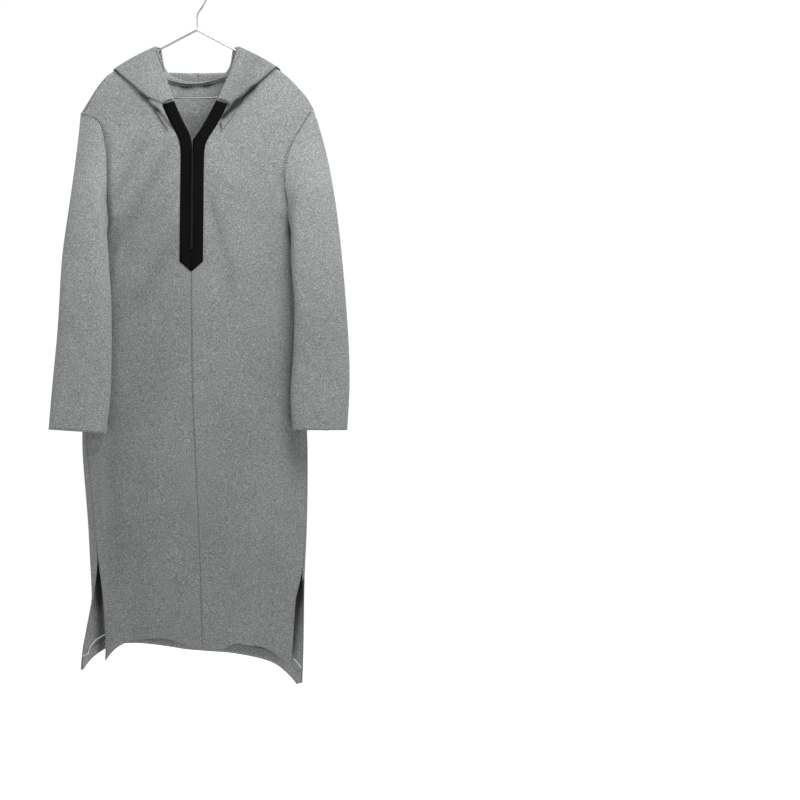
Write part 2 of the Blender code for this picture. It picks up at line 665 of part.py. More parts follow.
def hood_half(side, body_tree):
    """Grid of one hood half: stations from front to centre back, each running from
    the face edge over the outer layer, round the fold and back to the neck seam."""
    sign = -1.0 if side == "left" else 1.0
    grid = []
    for u in HOOD_STOPS:
        row = {c: value_at(HOOD, "u", u, c) for c in HOOD[0]._fields}
        shift = HOOD_SHIFT[side] * max(1.0 - u / HOOD_SHIFT_REACH, 0.0)
        face = Vector((sign * (row["face_out"] + shift), row["face_y"], row["face_z"]))
        fold = Vector((sign * (row["fold_out"] + shift), row["fold_y"], row["fold_z"]))
        neck = Vector((sign * (row["neck_out"] + shift), row["neck_y"], row["neck_z"]))
        out = layer_direction(face, fold, body_tree)
        size = min(1.0, (face - fold).length / 40.0)
        station = []
        for i in range(HOOD_OUTER_STEPS + 1):
            f = i / HOOD_OUTER_STEPS
            crown = HOOD_CROWN * size * math.sin(math.pi * f) ** 0.8
            point = face.lerp(fold, f) + out * crown
            station.append(lift_clear(point, body_tree, OUTER_LIFT))
        centre = station[-1] - out * HOOD_FOLD_RADIUS
        away = (fold - face).normalized()
        for i in range(1, HOOD_FOLD_STEPS):
            angle = math.pi * i / HOOD_FOLD_STEPS
            point = centre + out * HOOD_FOLD_RADIUS * math.cos(angle)
            point += away * HOOD_FOLD_RADIUS * math.sin(angle)
            station.append(lift_clear(point, body_tree, INNER_LIFT))
        start = centre - out * HOOD_FOLD_RADIUS
        for i in range(HOOD_INNER_STEPS + 1):
            point = start.lerp(neck, i / HOOD_INNER_STEPS)
            station.append(lay_on(point, body_tree, INNER_LIFT))
        grid.append(station)
    return grid


def settle(sheet, gaps, tree):
    """Lifts a laid piece until its faces clear the cloth below, not only its points."""
    for _ in range(8):
        for face in sheet.faces:
            corners = [sheet.points[i] for i in face]
            gap = min(gaps[i] for i in face)
            for weights in ((1, 1, 1), (1, 1, 0), (0, 1, 1), (1, 0, 1), (4, 1, 1), (1, 4, 1), (1, 1, 4)):
                middle = sum((c * w for c, w in zip(corners, weights)), Vector()) / sum(weights)
                short = lift_clear(middle, tree, gap) - middle
                if short.length > 0.02:
                    for i, weight in zip(face, weights):
                        if weight:
                            sheet.points[i] = sheet.points[i] + short


def join_centre(hoods):
    """Brings the last stations of both hood halves together on the middle plane."""
    left, right = hoods
    for a, b in zip(left.points[-left.columns:], right.points[-right.columns:]):
        y = max(a.y, b.y)
        z = (a.z + b.z) / 2
        for point in (a, b):
            point.x, point.y, point.z = 0.0, y, z
    for point in left.points:
        point.x = min(point.x, 0.0)
    for point in right.points:
        point.x = max(point.x, 0.0)


def layer_direction(face, fold, tree):
    """Direction in which the hood's outer layer faces, away from the body."""
    middle = face.lerp(fold, 0.5)
    normal = tree.find_nearest(middle)[1]
    away = fold - face
    return (normal - away * (normal.dot(away) / away.length_squared)).normalized()


def lay_on(point, tree, gap):
    """Lays a point on the body's cloth, where it is close to it."""
    near, normal, _, distance = tree.find_nearest(point)
    outside = (point - near).dot(normal) >= 0.0
    if outside and distance > LAY_REACH:
        return point
    if outside and distance > 0.05:
        normal = (point - near) / distance
    return lift_clear(near + normal * gap, tree, gap)


def split_cell(a, b, c, d):
    """Two triangles of a cell, cut the same way in every layer of cloth."""
    return [(a, b, c), (a, c, d)]


def grid_faces(rows, columns, closed=False):
    """Triangles of a grid of rows by columns, numbered row by row."""
    faces = []
    for r in range(rows - 1):
        for c in range(columns if closed else columns - 1):
            d = (c + 1) % columns
            faces += split_cell(r * columns + c, r * columns + d,
                                (r + 1) * columns + d, (r + 1) * columns + c)
    return faces


class Sheet:
    """A piece of cloth: its points, its faces turned outwards, and its seams."""

    def __init__(self, name, grid, flip=False, closed=False, seams=()):
        self.name = name
        self.rows = len(grid)
        self.columns = len(grid[0])
        self.points = [point for row in grid for point in row]
        self.faces = grid_faces(self.rows, self.columns, closed)
        if flip:
            self.faces = [tuple(reversed(face)) for face in self.faces]
        self.closed = closed
        self.seams = seams
        self.normals = None

    def number(self, row, column):
        return row * self.columns + column


def key_of(point):
    return tuple(round(value * 50.0) for value in point)


def share_normals(sheets):
    """Gives every point a normal shared with the pieces sewn on there, stretched
    so that the wall keeps its thickness at a bend. Where a sleeve meets the body,
    both have the same say in it."""
    around = defaultdict(list)
    groups = defaultdict(lambda: defaultdict(Vector))
    for sheet in sheets:
        for face in sheet.faces:
            corners = [sheet.points[i] for i in face]
            normal = (corners[1] - corners[0]).cross(corners[2] - corners[0])
            if normal.length < 1e-6:
                continue
            normal.normalize()
            for i in face:
                key = key_of(sheet.points[i])
                around[key].append(normal)
                groups[key][sheet.closed] += normal
    for sheet in sheets:
        sheet.normals = []
        for point in sheet.points:
            normals = around[key_of(point)]
            total = Vector()
            for part_sum in groups[key_of(point)].values():
                total += part_sum.normalized()
            if total.length < 1e-3:
                total = normals[0].copy()
            if abs(point.y) < 1e-6:
                total.y = 0.0
            total.normalize()
            straight = sum(max(total.dot(n), 0.0) for n in normals) / len(normals)
            sheet.normals.append(total / max(straight, LEAST_STRAIGHT))


def pull_back(points, sheet):
    """Draws each seam's points a little way into the piece."""
    moved = [point.copy() for point in points]
    for seam in sheet.seams:
        pairs = seam(sheet)
        for i, (here, inside) in enumerate(pairs):
            before = points[pairs[max(i - 1, 0)][0]]
            after = points[pairs[min(i + 1, len(pairs) - 1)][0]]
            line = (after - before).normalized()
            way = points[inside] - points[here]
            way -= line * way.dot(line)
            if way.length > 1e-6:
                moved[here] += way.normalized() * SEAM_PULL
    return moved


def seam_top(first=0, last=None):
    def pairs(sheet):
        stop = sheet.columns if last is None else last
        return [(sheet.number(0, c), sheet.number(1, c)) for c in range(first, stop)]
    return pairs


def seam_column(column, inside, first=0, last=None):
    def pairs(sheet):
        stop = sheet.rows if last is None else last
        col = column % sheet.columns
        nxt = inside % sheet.columns
        return [(sheet.number(r, col), sheet.number(r, nxt)) for r in range(first, stop)]
    return pairs


def seam_order(point):
    """Ranks points along a seam, so that both pieces cut its edge the same way."""
    return 3.0 * point.z + point.x + 0.3 * point.y


def wall_mesh(name, outer, inner, faces):
    """One closed wall between two layers of points that share their faces."""
    bm = bmesh.new()
    top = [bm.verts.new(point * MM) for point in outer]
    low = [bm.verts.new(point * MM) for point in inner]
    edges = defaultdict(int)
    for face in faces:
        bm.faces.new([top[i] for i in face])
        bm.faces.new([low[i] for i in reversed(face)])
        for a, b in zip(face, face[1:] + face[:1]):
            edges[(a, b)] += 1
    for a, b in list(edges):
        if (b, a) in edges:
            continue
        if seam_order(outer[a]) < seam_order(outer[b]):
            bm.faces.new([top[b], top[a], low[b]])
            bm.faces.new([top[a], low[a], low[b]])
        else:
            bm.faces.new([top[b], top[a], low[a]])
            bm.faces.new([top[b], low[a], low[b]])
    loose = [vert for vert in bm.verts if not vert.link_faces]
    bmesh.ops.delete(bm, geom=loose, context="VERTS")
    mesh = bpy.data.meshes.new(name)
    bm.to_mesh(mesh)
    bm.free()
    mesh.shade_smooth()
    piece = bpy.data.objects.new(name, mesh)
    bpy.context.scene.collection.objects.link(piece)
    return piece


def cloth_piece(sheet, material):
    inner = [p - n * WALL for p, n in zip(sheet.points, sheet.normals)]
    outer = pull_back(sheet.points, sheet)
    inner = pull_back(inner, sheet)
    piece = wall_mesh(sheet.name, outer, inner, sheet.faces)
    piece.data.materials.append(material)
    return piece


def tree_of(sheets):
    points = []
    faces = []
    for sheet in sheets:
        start = len(points)
        points.extend(sheet.points)
        faces.extend(tuple(i + start for i in face) for face in sheet.faces)
    return BVHTree.FromPolygons(points, faces)


def tape_piece(sheet, side, material):
    """Flat tape on a front panel's first column of cells, from beside the hood's end
    down the V-neck and the placket to its pointed end."""
    first = ROWS.index(0.32)
    corner = len(ROWS) + LOWER_LEVELS.index(-PLACKET_CORNER_Z)
    base = LAY_GAP
    points = []
    normals = []
    for r in range(first, corner + 2):
        for c in (0, 1):
            points.append(sheet.points[sheet.number(r, c)])
            normals.append(sheet.normals[sheet.number(r, c)])
    rows = corner + 2 - first
    faces = []
    for r in range(rows - 2):
        faces += split_cell(2 * r, 2 * r + 1, 2 * r + 3, 2 * r + 2)
    r = rows - 2
    faces.append((2 * r, 2 * r + 1, 2 * r + 2))
    if side == "right":
        faces = [tuple(reversed(face)) for face in faces]
    across = [(points[2 * r + 1] - points[2 * r]).normalized() for r in range(rows)]
    placed = []
    for i, (point, normal) in enumerate(zip(points, normals)):
        pull = across[i // 2] * SEAM_PULL if i % 2 == 0 else Vector()
        placed.append(point + pull)
    low = [p + n * base for p, n in zip(placed, normals)]
    top = [p + n * (base + TAPE_WALL) for p, n in zip(placed, normals)]
    piece = wall_mesh("trim_" + side, top, low, faces)
    piece.data.materials.append(material)
    return piece


def braid_piece(sheet, material):
    """Ribbed strip down the middle of the placket: a spine with a rung per loop."""
    first = ROWS.index(0.71)
    last = len(ROWS) + LOWER_LEVELS.index(-PLACKET_TIP_Z)
    line = [sheet.points[sheet.number(r, 0)] for r in range(first, last + 1)]
    normals = [sheet.normals[sheet.number(r, 0)] for r in range(first, last + 1)]
    base = 2 * LAY_GAP + TAPE_WALL
    columns = 4
    points = []
    ups = []
    faces = []
    heights = []
    for i in range(RUNG_COUNT):
        z = BRAID_TOP_Z - i * RUNG_PITCH
        heights += [z, z - RUNG_LENGTH]
    for i, z in enumerate(heights):
        k = max(j for j in range(len(line) - 1) if line[j].z >= z)
        f = (line[k].z - z) / (line[k].z - line[k + 1].z)
        centre = line[k].lerp(line[k + 1], f)
        up = normals[k].lerp(normals[k + 1], f)
        width = lerp(RUNG_WIDTH_TOP, RUNG_WIDTH_LOW, i / len(heights))
        for offset in (-width / 2, -BRAID_SPINE_WIDTH / 2, BRAID_SPINE_WIDTH / 2, width / 2):
            points.append(centre + Vector((offset, 0.0, 0.0)))
            ups.append(up)
    for i in range(len(heights) - 1):
        cells = range(3) if i % 2 == 0 else (1,)
        for c in cells:
            a = i * columns + c
            faces += split_cell(a, a + columns, a + columns + 1, a + 1)
    low = [p + n * base for p, n in zip(points, ups)]
    top = [p + n * (base + BRAID_WALL) for p, n in zip(points, ups)]
    piece = wall_mesh("closure_braid", top, low, faces)
    piece.data.materials.append(material)
    return piece


def hem_turnup(sheet, material):
    """Strip that lies inside the back panel above its hem."""
    last = sheet.rows - 1
    low_row = [sheet.number(last, c) for c in range(sheet.columns)]
    high_row = [sheet.number(last - 1, c) for c in range(sheet.columns)]
    points = [sheet.points[i] for i in high_row + low_row]
    normals = [sheet.normals[i] for i in high_row + low_row]
    trimmed = Sheet("back_hem_turnup", [points[: sheet.columns], points[sheet.columns:]])
    depth = WALL + HEM_GAP
    outer = [p - n * depth for p, n in zip(points, normals)]
    inner = [p - n * (depth + HEM_WALL) for p, n in zip(points, normals)]
    for layer in (outer, inner):
        for row in (0, sheet.columns):
            for end, inside in ((row, row + 1), (row + sheet.columns - 1, row + sheet.columns - 2)):
                way = layer[inside] - layer[end]
                layer[end] = layer[end] + way.normalized() * 1.0
    piece = wall_mesh("back_hem_turnup", outer, inner, trimmed.faces)
    piece.data.materials.append(material)
    return piece


def wire(name, points, material, cyclic=False):
    """Round wire along a line of points, with closed ends."""
    curve = bpy.data.curves.new(name, "CURVE")
    curve.dimensions = "3D"
    curve.bevel_depth = WIRE_RADIUS * MM
    curve.bevel_resolution = 3
    curve.use_fill_caps = not cyclic
    spline = curve.splines.new("POLY")
    spline.points.add(len(points) - 1)
    for target, point in zip(spline.points, points):
        target.co = (point.x * MM, point.y * MM, point.z * MM, 1.0)
    spline.use_cyclic_u = cyclic
    piece = bpy.data.objects.new(name, curve)
    piece.data.materials.append(material)
    bpy.context.scene.collection.objects.link(piece)
    return piece


def round_corner(before, corner, after, radius, steps):
    """Points of an arc that rounds the corner of a wire line."""
    to_before = (before - corner).normalized()
    to_after = (after - corner).normalized()
    half = to_before.angle(to_after) / 2
    start = corner + to_before * (radius / math.tan(half))
    centre = corner + (to_before + to_after).normalized() * (radius / math.sin(half))
    spoke = start - centre
    axis = to_before.cross(to_after).normalized()
    turn = math.pi - 2 * half
    points = []
    for i in range(steps + 1):
        angle = -turn * i / steps
        points.append(centre + spoke * math.cos(angle) + axis.cross(spoke) * math.sin(angle))
    return points


def arm_z(x):
    return WIRE_APEX_Z - ARM_SLOPE * abs(x)


def hanger_frame(material):
    """Closed triangle of wire: two arms, tight round ends and the trouser bar."""
    apex = Vector((0.0, 0.0, WIRE_APEX_Z))
    right = Vector((FRAME_END_X, 0.0, arm_z(FRAME_END_X)))
    right_low = Vector((BAR_END_X, 0.0, BAR_Z))
    left = Vector((-right.x, 0.0, right.z))
    left_low = Vector((-right_low.x, 0.0, BAR_Z))
    points = []
    loop = [apex, right, right_low, left_low, left]
    for i, (corner, radius) in enumerate(zip(loop, CORNER_RADII)):
        before = loop[i - 1]
        after = loop[(i + 1) % len(loop)]
        points += round_corner(before, corner, after, radius, CORNER_STEPS)
    return wire("hanger_frame", points, material, cyclic=True)


def hanger_hook(material):
    """Straight neck that kinks into the round hook, open on the left side."""
    bend_drop = APEX_RADIUS * (math.hypot(1.0, ARM_SLOPE) - 1.0)
    foot = Vector((0.0, 0.0, WIRE_APEX_Z - bend_drop + WIRE_RADIUS + LAY_GAP))
    neck = Vector((0.0, 0.0, -60.0))
    bend = Vector((13.5, 0.0, -45.5))
    centre = Vector((0.0, 0.0, WIRE_RADIUS - HOOK_RADIUS))
    start = math.radians(HOOK_START)
    points = [foot, foot.lerp(neck, 0.5), neck, bend]
    for i in range(HOOK_STEPS + 1):
        angle = start + math.radians(HOOK_SWEEP) * i / HOOK_STEPS
        x = HOOK_RADIUS * math.cos(angle)
        z = HOOK_RADIUS * math.sin(angle)
        points.append(centre + Vector((x, 0.0, z)))
    return wire("hanger_hook", points, material)


def material(name, colour, roughness, metallic=0.0):
    made = bpy.data.materials.new(name)
    made.use_nodes = True
    shader = made.node_tree.nodes["Principled BSDF"]
    shader.inputs["Base Color"].default_value = (*colour, 1.0)
    shader.inputs["Roughness"].default_value = roughness
    shader.inputs["Metallic"].default_value = metallic
    return made


def build():
    for old in list(bpy.data.objects):
        bpy.data.objects.remove(old, do_unlink=True)
    cloth = material("melange_cloth", (0.26, 0.28, 0.275), 0.95)
    black = material("black_tape", (0.008, 0.008, 0.009), 0.6)
    chrome = material("chromed_wire", (0.62, 0.63, 0.64), 0.16, 1.0)

    seam_rows = len(ROWS) + LOWER_LEVELS.index(-SLIT_TOP_Z)
    left_neck = len(TURN_STEPS) + BACK_EVEN
    right_neck = left_neck + NECK_EVEN
    fronts = {}
    for side in ("left", "right"):
        fronts[side] = Sheet(
            "front_" + side, front_panel(side), flip=side == "right",
            seams=(seam_top(), seam_column(0, 1, ROWS.index(0.71)),
                   seam_column(-1, -2, 0, seam_rows + 1)),
        )
    back = Sheet(
        "back", back_panel(),
        seams=(seam_top(0, left_neck + 1), seam_top(right_neck, None),
               seam_column(0, 1, 0, seam_rows + 1),
               seam_column(-1, -2, 0, seam_rows + 1)),
    )
    body_tree = tree_of([fronts["left"], fronts["right"], back])
    sleeves = [
        Sheet("sleeve_" + side, sleeve_tube(side), flip=side == "left", closed=True,
              seams=(seam_top(),))
        for side in ("left", "right")
    ]
    body = [fronts["left"], fronts["right"], back] + sleeves
    share_normals(body)
    for sheet in body:
        cloth_piece(sheet, cloth)

    hoods = [
        Sheet("hood_" + side, hood_half(side, body_tree), flip=side == "left",
              seams=(lambda sheet: [
                  (sheet.number(sheet.rows - 1, c), sheet.number(sheet.rows - 2, c))
                  for c in range(sheet.columns)],))
        for side in ("left", "right")
    ]
    layers = [OUTER_LIFT] * (HOOD_OUTER_STEPS + 1)
    layers += [INNER_LIFT] * (HOOD_FOLD_STEPS + HOOD_INNER_STEPS)
    for sheet in hoods:
        settle(sheet, layers * sheet.rows, body_tree)
    join_centre(hoods)
    share_normals(hoods)
    for sheet in hoods:
        cloth_piece(sheet, cloth)

    for side in ("left", "right"):
        tape_piece(fronts[side], side, black)
    braid_piece(fronts["left"], black)
    hem_turnup(back, cloth)
    hanger_frame(chrome)
    hanger_hook(chrome)


build()
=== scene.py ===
"""Dresses the hooded robe and its wire hanger for the picture.

Frame: the origin is the inside top of the hook, +Z is up, the front of the robe faces
-Y and +X is its right side as seen from the front. Tables are in millimetres, meshes
in metres. Each cloth piece is a welded and smoothed copy of its solid, with the small
creases laid into it; welts and threads are laid on afterwards.
"""
import json
import math

import bmesh
import bpy
from mathutils import Matrix, Vector, noise
from mathutils.bvhtree import BVHTree

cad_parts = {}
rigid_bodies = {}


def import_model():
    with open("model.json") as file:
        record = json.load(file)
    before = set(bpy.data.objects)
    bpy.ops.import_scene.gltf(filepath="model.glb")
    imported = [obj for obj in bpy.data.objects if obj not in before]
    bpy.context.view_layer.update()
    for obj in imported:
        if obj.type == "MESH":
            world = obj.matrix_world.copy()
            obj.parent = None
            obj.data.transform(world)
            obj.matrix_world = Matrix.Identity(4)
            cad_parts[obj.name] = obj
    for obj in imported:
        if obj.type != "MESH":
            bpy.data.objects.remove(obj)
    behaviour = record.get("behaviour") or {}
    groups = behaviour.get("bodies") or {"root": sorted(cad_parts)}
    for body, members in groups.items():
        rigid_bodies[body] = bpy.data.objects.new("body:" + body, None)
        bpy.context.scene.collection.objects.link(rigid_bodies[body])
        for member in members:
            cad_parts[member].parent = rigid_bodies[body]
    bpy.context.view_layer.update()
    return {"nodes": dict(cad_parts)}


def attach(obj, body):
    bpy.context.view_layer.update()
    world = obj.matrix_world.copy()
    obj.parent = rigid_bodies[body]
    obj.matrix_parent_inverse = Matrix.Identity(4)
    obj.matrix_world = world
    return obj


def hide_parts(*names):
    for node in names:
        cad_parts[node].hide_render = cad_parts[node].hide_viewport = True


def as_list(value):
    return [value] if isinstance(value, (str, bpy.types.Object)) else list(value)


MM = 0.001

# Camera: level, 3 m in front of the hanger
CAMERA_DISTANCE = 3000.0
CAMERA_Z = -833.8
PICTURE_WIDTH = 1600.0
SENSOR = 36.0
ROBE_OFFSET = 406.0       # how far the robe hangs left of the picture's middle

# Studio
FLOOR_Z = -1720.0
FLOOR_RADIUS = 3000.0
# Brightness all round, from straight down at 0 to straight up at 1
SURROUND = [(0.0, 0.12), (0.30, 0.14), (0.36, 1.0), (0.64, 1.0), (0.70, 0.30), (1.0, 0.35)]

# Welding and smoothing of the cloth
WELD = 1e-5
RIM_WIDTH = 2.7           # faces narrower than this between sharp edges are a cut edge
RIM_ANGLE = 45.0
CORNER_ANGLE = 150.0
LONG_EDGE = 0.6           # share of a face's longest edge from which an edge counts as long
FLAT_ANGLE = 70.0         # triangles that meet flatter than this join to a quad

SLOTS = {
    "front_left": "melange_cloth", "front_right": "melange_cloth", "back": "melange_cloth",
    "back_hem_turnup": "melange_cloth", "sleeve_left": "melange_cloth",
    "sleeve_right": "melange_cloth", "hood_left": "melange_cloth",
    "hood_right": "melange_cloth", "trim_left": "black_tape", "trim_right": "black_tape",
    "closure_braid": "black_tape", "hanger_frame": "chromed_wire",
    "hanger_hook": "chromed_wire",
}

# Body's side edges by height: the armhole above the underarm, the side below
SIDES = [
    (-128, -240, 240), (-262, -233, 232), (-290, -190, 205), (-320, -183, 189),
    (-385, -178, 173), (-440, -179, 179), (-476, -178, 188), (-600, -196, 195),
    (-750, -209, 203), (-900, -220, 218), (-1012, -211, 218), (-1148, -197, 213),
    (-1250, -186, 194), (-1400, -184, 187),
]
SIDE_FADE = 24.0          # creases fade out towards the sides
MIDDLE_FADE = 14.0        # and towards the hanger's plane
SLIT_TOP = -1192.0        # of the right side slit

LINE_REACH = 3.0          # a table's line counts within this many half widths
LINE_TAIL = 1.8           # beyond its ends it fades this much more slowly than across

# Creases: ends in x and z, half width and depth; a minus depth is a ridge
FRONT_CREASES = [
    (-44, -420, -98, -486, 10, 2.6), (-66, -440, -140, -540, 12, 3.4),
    (-96, -392, -158, -452, 11, 2.2), (-28, -520, -92, -590, 13, 2.0),
    (16, -420, 34, -492, 9, 2.0), (30, -470, 60, -580, 12, 2.6),
    (60, -392, 120, -436, 11, -1.0), (-110, -330, -160, -352, 10, 1.1),
    (118, -330, 150, -410, 10, -1.2), (-150, -500, -172, -640, 9, -1.6),
    (146, -560, 178, -640, 11, 1.2), (-140, -760, -90, -900, 16, 1.5),
    (90, -740, 130, -900, 17, 1.3), (-60, -960, -84, -1130, 15, 1.4),
    (-196, -930, -186, -1090, 5, -1.8), (-176, -940, -166, -1120, 7, 1.4),
    (40, -1000, 66, -1150, 14, -1.4), (140, -1010, 126, -1180, 13, 1.7),
    (-120, -1120, -132, -1290, 14, 1.8), (24, -1180, 30, -1310, 12, 1.6),
    (160, -1200, 152, -1330, 10, -1.5), (-30, -1170, -40, -1300, 11, -1.2),
]
BACK_CREASES = [
    (-150, -470, -110, -560, 12, 1.6), (140, -480, 96, -590, 13, 1.8),
    (-60, -640, -20, -760, 15, 1.3), (60, -700, 30, -850, 14, 1.2),
    (-120, -780, -96, -940, 16, -1.4), (120, -860, 100, -1010, 17, 1.5),
    (-40, -960, -64, -1120, 13, 1.4), (30, -1060, 48, -1200, 15, -1.3),
    (-140, -1090, -126, -1260, 12, 1.7), (130, -1120, 146, -1290, 13, 1.6),
    (80, -1190, 90, -1320, 11, 1.3), (-80, -1210, -90, -1310, 10, -1.2),
    (0, -420, 14, -540, 14, 1.1),
]
SLEEVE_CREASES = {
    "left": [
        (-176, -590, -214, -660, 8, 1.9), (-182, -654, -236, -716, 9, 1.5),
        (-250, -700, -214, -768, 10, 1.2), (-190, -744, -238, -800, 8, -1.1),
        (-258, -560, -240, -640, 10, 1.1), (-206, -480, -190, -560, 9, 1.6),
        (-262, -800, -250, -872, 12, 0.9), (-206, -820, -200, -880, 11, 1.0),
        (-238, -380, -226, -470, 12, 0.9),
    ],
    "right": [
        (196, -590, 232, -640, 9, 1.4), (288, -600, 262, -690, 12, 1.1),
        (194, -690, 240, -744, 8, 1.6), (250, -740, 278, -810, 11, 1.0),
        (200, -770, 238, -812, 9, -1.0), (214, -470, 206, -550, 10, 1.4),
        (270, -470, 262, -560, 11, 0.9), (226, -830, 220, -880, 10, 0.9),
        (246, -360, 240, -440, 12, 0.8),
    ],
}
# Middle of a sleeve's depth, by height
SLEEVE_MIDDLE = [
    (-262, 0), (-325, -4), (-396, -13), (-464, -22), (-600, -34), (-750, -40), (-900, -43),
]
SLEEVE_START = -300.0     # creases of a sleeve fade in from here down
SLEEVE_FADE = 90.0
SLEEVE_MIDDLE_FADE = 12.0
SLEEVE_PAINTED_LIGHT = 1.12       # painted light: the sleeves' tone raised above the body's, as they hang forward into more light
UNDULATION = 1.1          # soft uneven waves all over hung cloth
UNDULATION_LENGTH = 130.0

# The hood lies flatter on the shoulders than its solid: distances from the body beyond
# the first value shrink by the share, fading out behind the shoulders
HOOD_REST = 2.0
HOOD_FLATTEN = 0.55
HOOD_FADE_FROM = 6.0
HOOD_FADE_TO = 22.0

# Lower edge of each lapel on the hanger's plane: the cloth beyond it is tucked under
TUCKS = {
    "hood_left": ((-162.0, -173.0), (-98.0, -227.0)),
    "hood_right": ((152.0, -171.0), (86.0, -229.0)),
}
TUCKED = 0.9              # share of the distance beyond the line that is taken in
TUCK_DEPTH = 6.0          # the tuck fades in over this depth in front of the hanger
TUCK_START = -0.3         # as shares of the line: where the tuck starts and ends,
TUCK_START_FADE = 0.25    # and over how much it fades there
TUCK_END = 1.2
TUCK_END_FADE = 0.3

# A sleeve rests against the body's side: how far its inner edge leans in, by height
SLEEVE_LEAN = {
    "left": [(-440, 0.0), (-474, 4.5), (-520, 4.5), (-580, 0.0)],
    "right": [(-440, 0.0), (-474, 6.5), (-560, 7.0), (-640, 0.0)],
}
LEAN_REACH = 40.0

# Rounded folds and welts of cloth: line on the hanger's plane, pieces below, half width
WELTS = [
    ("lapel_fold_left", [(-160, -173), (-142, -193), (-120, -210), (-98, -226), (-64, -239)],
     ("hood_left", "front_left"), 2.4),
    ("lapel_fold_right", [(151, -171), (122, -196), (103, -212), (86, -228), (60, -242)],
     ("hood_right", "front_right"), 2.4),
    ("neck_welt", [(-60, -193), (-40, -198), (-22, -201), (0, -201), (18, -198), (40, -193),
                   (60, -187)], ("hood_left", "hood_right", "back"), 2.2),
]

TURNED = 0.3              # a face turned further than this shows the piece's other side
DARKEST = 0.06            # least share of its tone that a crease's painted shade leaves

# Painted shade in the cloth's tone: deep creases, gaps and slit insides where little light
# gets in, and broad folds; line, half width and share of tone lost; a minus share paints light
SHADES = {
    "outside": [
        (-162, -176, -98, -230, 3, 0.55), (-98, -230, -64, -243, 2, 0.5),
        (-112, -224, -80, -253, 4, 0.5), (-80, -253, -46, -290, 4, 0.6),
        (150, -176, 110, -211, 4, 0.6), (110, -212, 80, -240, 6, 0.95),
        (80, -240, 54, -266, 6, 1.0), (118, -150, 90, -216, 26, 0.2),
        (176, -390, 184, -500, 8, 0.35), (188, -450, 190, -520, 5, 0.6),
        (-60, -340, -160, -520, 17, 0.17), (-110, -330, -176, -450, 13, 0.16),
        (-20, -470, -110, -620, 18, 0.12), (30, -440, 66, -600, 15, 0.12),
        (-176, -330, -176, -480, 8, 0.18), (-90, -560, -110, -1250, 66, 0.09),
        (-168, -905, -160, -1180, 24, 0.14), (192, -905, 198, -980, 13, 0.14),
    ],
    "inside": [
        (-60, -198, -22, -207, 5, 0.85), (-22, -207, 20, -204, 5, 0.75),
        (20, -204, 62, -192, 5, 0.75), (-60, -182, 60, -180, 7, -0.2),
        (-197, -1150, -190, -1345, 9, 0.75), (-197, -1150, -196, -1230, 9, 0.6),
        (208, -1188, 190, -1330, 9, 0.85), (206, -1188, 204, -1230, 9, 0.6),
    ],
}

# Painted shade of the cloth by height, outside and inside: the tone falls towards the hem as the
# light falls off, and inside it falls deep in the robe, darkest at the top of the slits
OUTSIDE_SHADE_BY_HEIGHT = [(-128, 0.86), (-400, 0.83), (-560, 0.74), (-700, 0.67), (-1000, 0.62),
                (-1200, 0.60), (-1400, 0.59)]
INSIDE_SHADE_BY_HEIGHT = [(-128, 0.98), (-235, 0.98), (-340, 0.8), (-900, 0.4), (-1140, 0.20),
               (-1200, 0.42), (-1290, 0.62), (-1400, 0.74)]

# Cut sizes of the sheets: width, length and area of one face in square metres
CUTS = {
    "front_left": (0.25, 1.24, 0.227), "front_right": (0.26, 1.25, 0.243),
    "back": (0.48, 1.29, 0.523), "back_hem_turnup": (0.46, 0.026, 0.011),
    "sleeve_left": (0.30, 0.62, 0.132), "sleeve_right": (0.31, 0.63, 0.139),
    "hood_left": (0.27, 0.34, 0.080), "hood_right": (0.27, 0.34, 0.080),
}

GLINT_STITCH = 0.55       # the light stitch, a painted glint on the thread: its length and width against the dark one's
LONGEST_STEP = 0.02       # a cast line that jumps further than this, in metres, is broken

# Lines of stitches in front, as the camera sees them on the hanger's plane
SEWN_FRONT = {
    "shoulder_left": [(-167, -173), (-181, -188), (-195, -206), (-209, -228), (-220, -249),
                      (-229, -262)],
    "armhole_left": [(-230, -263), (-223, -264), (-211, -266), (-202, -271), (-195, -277),
                     (-189, -286), (-185, -296), (-183, -306), (-183, -313)],
    "armhole_right": [(231, -251), (218, -272), (204, -295), (190, -318), (181, -335),
                      (175, -356), (172, -379), (171, -391)],
    "centre_front": [(-11, -582), (-11, -634), (-10, -714), (-9, -834), (-1, -986),
                     (6, -1166), (12, -1330)],
    "left_side": [(-220, -906), (-216, -960), (-211, -1012), (-205, -1074), (-200, -1115),
                  (-198, -1140)],
    "right_side": [(219, -930), (219, -1012), (217, -1080), (213, -1150), (209, -1178)],
    "cuff_left": [(-293, -891), (-269, -890), (-250, -893), (-232, -896), (-212, -898),
                  (-186, -900), (-182, -898)],
    "cuff_right": [(192, -889), (223, -892), (256, -894), (294, -895), (299, -893)],
    "lapel_left": [(-82, -133), (-74, -155), (-65, -179), (-56, -204), (-46, -228)],
    "lapel_right": [(87, -137), (78, -156), (68, -176), (53, -204), (40, -229)],
    "neck_seam": [(-60, -198), (-40, -203), (-22, -206), (0, -206), (18, -203), (40, -198),
                  (60, -192)],
    "slit_left_front": [(-195, -1156), (-191, -1184), (-186, -1236), (-181, -1288),
                        (-179, -1322), (-183, -1350)],
    "slit_right_front": [(207, -1194), (200, -1212), (193, -1250), (191, -1266),
                         (193, -1288), (192, -1344), (186, -1360)],
    "turnup_left": [(-231, -1347), (-218, -1341), (-212, -1325), (-202, -1313),
                    (-182, -1301)],
    "turnup_right": [(193, -1351), (201, -1359), (210, -1371)],
    "front_hem": [(-179, -1316), (-166, -1303), (-150, -1295), (-114, -1291), (-78, -1288),
                  (-54, -1290), (-34, -1295), (-14, -1307), (10, -1313), (50, -1315),
                  (66, -1305), (82, -1300), (100, -1307), (122, -1307), (142, -1316),
                  (164, -1329), (180, -1345)],
}

